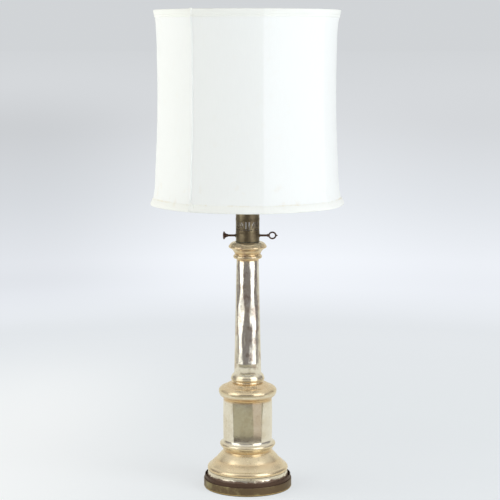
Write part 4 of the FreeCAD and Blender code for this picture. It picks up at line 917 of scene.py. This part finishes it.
def sweep_material():
    """Pale floor that takes the lamp's shadow, runs off into the pale backdrop, and ends as a table does in
    what the polished glass reflects."""
    material = bpy.data.materials.new("pale_sweep")
    material.use_nodes = True
    tree = material.node_tree
    tree.nodes.remove(tree.nodes["Principled BSDF"])
    _, axes = place_xyz(tree)
    distance = math_node(tree, "SQRT", axis_distance_squared(tree, axes))
    paper = tree.nodes.new("ShaderNodeBsdfDiffuse")
    plug(tree, paper.inputs["Color"], PAPER_WHITE)
    # Near the lamp the floor shows light and shadow; away from it, it turns into the glowing backdrop with
    # its
    #     # painted light and shade.
    glow = emission(tree, backdrop_colour(tree, axes, distance))
    seen = mix_shader(tree, remap(tree, distance, 0.2, 1.3, 0.62, 1.0), paper.outputs[0], glow)
    rays = tree.nodes.new("ShaderNodeLightPath")
    surface = mix_shader(tree, rays.outputs["Is Camera Ray"], paper.outputs[0], seen)
    mirrored = emission(tree, reflected_colour(tree, axes, distance))
    surface = mix_shader(tree, rays.outputs["Is Glossy Ray"], surface, mirrored)
    tree.links.new(surface, tree.nodes["Material Output"].inputs["Surface"])
    return material


def make_floor():
    """Flat floor that reaches far enough to meet the backdrop's tone."""
    reach = 120.0
    mesh = bpy.data.meshes.new("floor")
    corners = [(-reach, -reach, 0), (reach, -reach, 0), (reach, reach, 0), (-reach, reach, 0)]
    mesh.from_pydata(corners, [], [(0, 1, 2, 3)])
    mesh.materials.append(sweep_material())
    floor = bpy.data.objects.new("floor", mesh)
    bpy.context.scene.collection.objects.link(floor)


def make_world():
    """Even grey light; the camera sees the sweep's farthest tone, and polished surfaces see the room."""
    world = bpy.data.worlds.new("studio")
    bpy.context.scene.world = world
    world.use_nodes = True
    tree = world.node_tree
    tree.nodes.clear()
    _, axes = place_xyz(tree, "Generated")
    turn = front_turn(tree, axes)
    ceiling = remap(tree, axes["Z"], 0.22, 0.80)
    reflected = blend_colour(tree, ceiling, room_colour(tree, turn, ROOM_DARK), CEILING)
    rays = tree.nodes.new("ShaderNodeLightPath")
    colour = blend_colour(tree, rays.outputs["Is Glossy Ray"], WORLD_GREY, reflected)
    colour = blend_colour(tree, rays.outputs["Is Camera Ray"], colour, SWEEP[0][1])
    background = tree.nodes.new("ShaderNodeBackground")
    plug(tree, background.inputs["Color"], colour)
    output = tree.nodes.new("ShaderNodeOutputWorld")
    tree.links.new(background.outputs[0], output.inputs["Surface"])


def softbox(name, turn, distance, wide, low, high, power, colour, mirrored=True):
    """Tall soft light standing round the lamp at a turn from the front; mirrored shows it in the metal."""
    light = bpy.data.lights.new(name, "AREA")
    light.color = colour
    light.shape = "RECTANGLE"
    light.size = wide
    light.size_y = high - low
    light.energy = power
    lamp = bpy.data.objects.new(name, light)
    bpy.context.scene.collection.objects.link(lamp)
    place = round_point(turn, distance, (low + high) / 2)
    lamp.location = place
    aim = Vector((0, 0, place.z)) - place
    lamp.rotation_euler = aim.to_track_quat("-Z", "Y").to_euler()
    lamp.visible_camera = False
    lamp.visible_glossy = mirrored


def make_camera():
    """The photograph's camera."""
    camera = bpy.data.cameras.new("camera")
    camera.lens = CAMERA_LENS
    camera.sensor_width = SENSOR_WIDTH
    holder = bpy.data.objects.new("camera", camera)
    holder.location = CAMERA_PLACE
    holder.rotation_euler = (CAMERA_TILT, 0, 0)
    bpy.context.scene.collection.objects.link(holder)
    bpy.context.scene.camera = holder


def make_lights():
    """Two tall softboxes that show in the metal, and two lights that don't."""
    softbox("left_softbox", turn=LEFT_LIGHT_TURN, distance=LIGHT_DISTANCE, wide=LEFT_LIGHT_WIDE,
            low=0.02, high=2.2, power=12.5, colour=WARM_WHITE)
    softbox("right_softbox", turn=RIGHT_LIGHT_TURN, distance=LIGHT_DISTANCE, wide=RIGHT_LIGHT_WIDE,
            low=0.02, high=2.2, power=15.0, colour=COOL_WHITE)
    softbox("left_fill", turn=math.radians(-97), distance=2.2, wide=1.6,
            low=0.2, high=1.8, power=19.0, colour=WARM_WHITE, mirrored=False)
    softbox("right_key", turn=math.radians(60), distance=2.2, wide=1.2,
            low=0.3, high=1.9, power=15.0, colour=COOL_WHITE, mirrored=False)


# ---------------------------------------------------------------- put together

def make_finishes():
    """Dress the nodes that keep their shape, and add the glass roll in the glass's own finish."""
    silvering = silvered_glass()
    dress(silvering, "glass_body")
    make_column_roll(silvering)
    dress(bronze("ring_bronze", dark=(0.16, 0.115, 0.07), light=(0.33, 0.285, 0.15),
                 edge_level=2.2 * MM, rim_level=13.8 * MM),
          "base_ring")
    dress(bronze("burner_bronze", dark=(0.17, 0.135, 0.085), light=(0.31, 0.265, 0.165),
                 scale=70.0, roughness=0.30, inner_radius=BURNER_INNER),
          "key_sleeve", "pierced_gallery", "upper_sleeve", "burner_cap", "key_bushes")
    dress(bronze("key_bronze", dark=(0.11, 0.062, 0.046), light=(0.22, 0.15, 0.105), scale=120.0),
          "wick_shaft", "wick_knob", "winding_shaft", "winding_key")
    dress(bronze("antique_brass", dark=(0.23, 0.16, 0.075), light=(0.50, 0.38, 0.19),
                 scale=60.0, roughness=0.28),
          "harp_saddle", "harp_bow", "harp_stud", "harp_sleeve_left", "harp_sleeve_right",
          "socket_cap", "socket_shell", "spider_arms", "spider_washer", "finial")
    dress(plated("plain_brass", (0.72, 0.56, 0.28), roughness=0.22),
          "pipe_nuts", "pipe_washers", "glass_cap", "wick_collar", "winding_collar", "screw_shell",
          "centre_contact", "switch_shaft")
    dress(plated("zinc", (0.60, 0.61, 0.62), roughness=0.32),
          "lamp_pipe", "base_plate")
    dress(plated("nickel", (0.74, 0.73, 0.70), roughness=0.2, tarnish=0.2),
          "bulb_base")
    dress(felt(),
          "felt_pad", "foot_gasket", "top_gasket")
    dress(moulded("black_phenolic", dark=(0.012, 0.011, 0.010), light=(0.03, 0.028, 0.025), roughness=0.35),
          "cord_bushing", "switch_knob")
    dress(moulded("pressed_fibre", dark=(0.34, 0.26, 0.17), light=(0.50, 0.40, 0.27), roughness=0.8,
                  scale=250.0),
          "socket_liner")
    dress(moulded("porcelain", dark=(0.78, 0.77, 0.73), light=(0.86, 0.85, 0.82), roughness=0.15),
          "socket_block")
    dress(moulded("wire_paint", dark=(0.74, 0.73, 0.69), light=(0.84, 0.83, 0.80), roughness=0.4),
          "shade_top_ring", "shade_bottom_ring", "shade_ribs")
    dress(frosted_bulb(),
          "bulb_glass")


bpy.context.scene.view_settings.view_transform = "Standard"
make_finishes()
make_shade()
make_floor()
make_world()
make_lights()
make_camera()
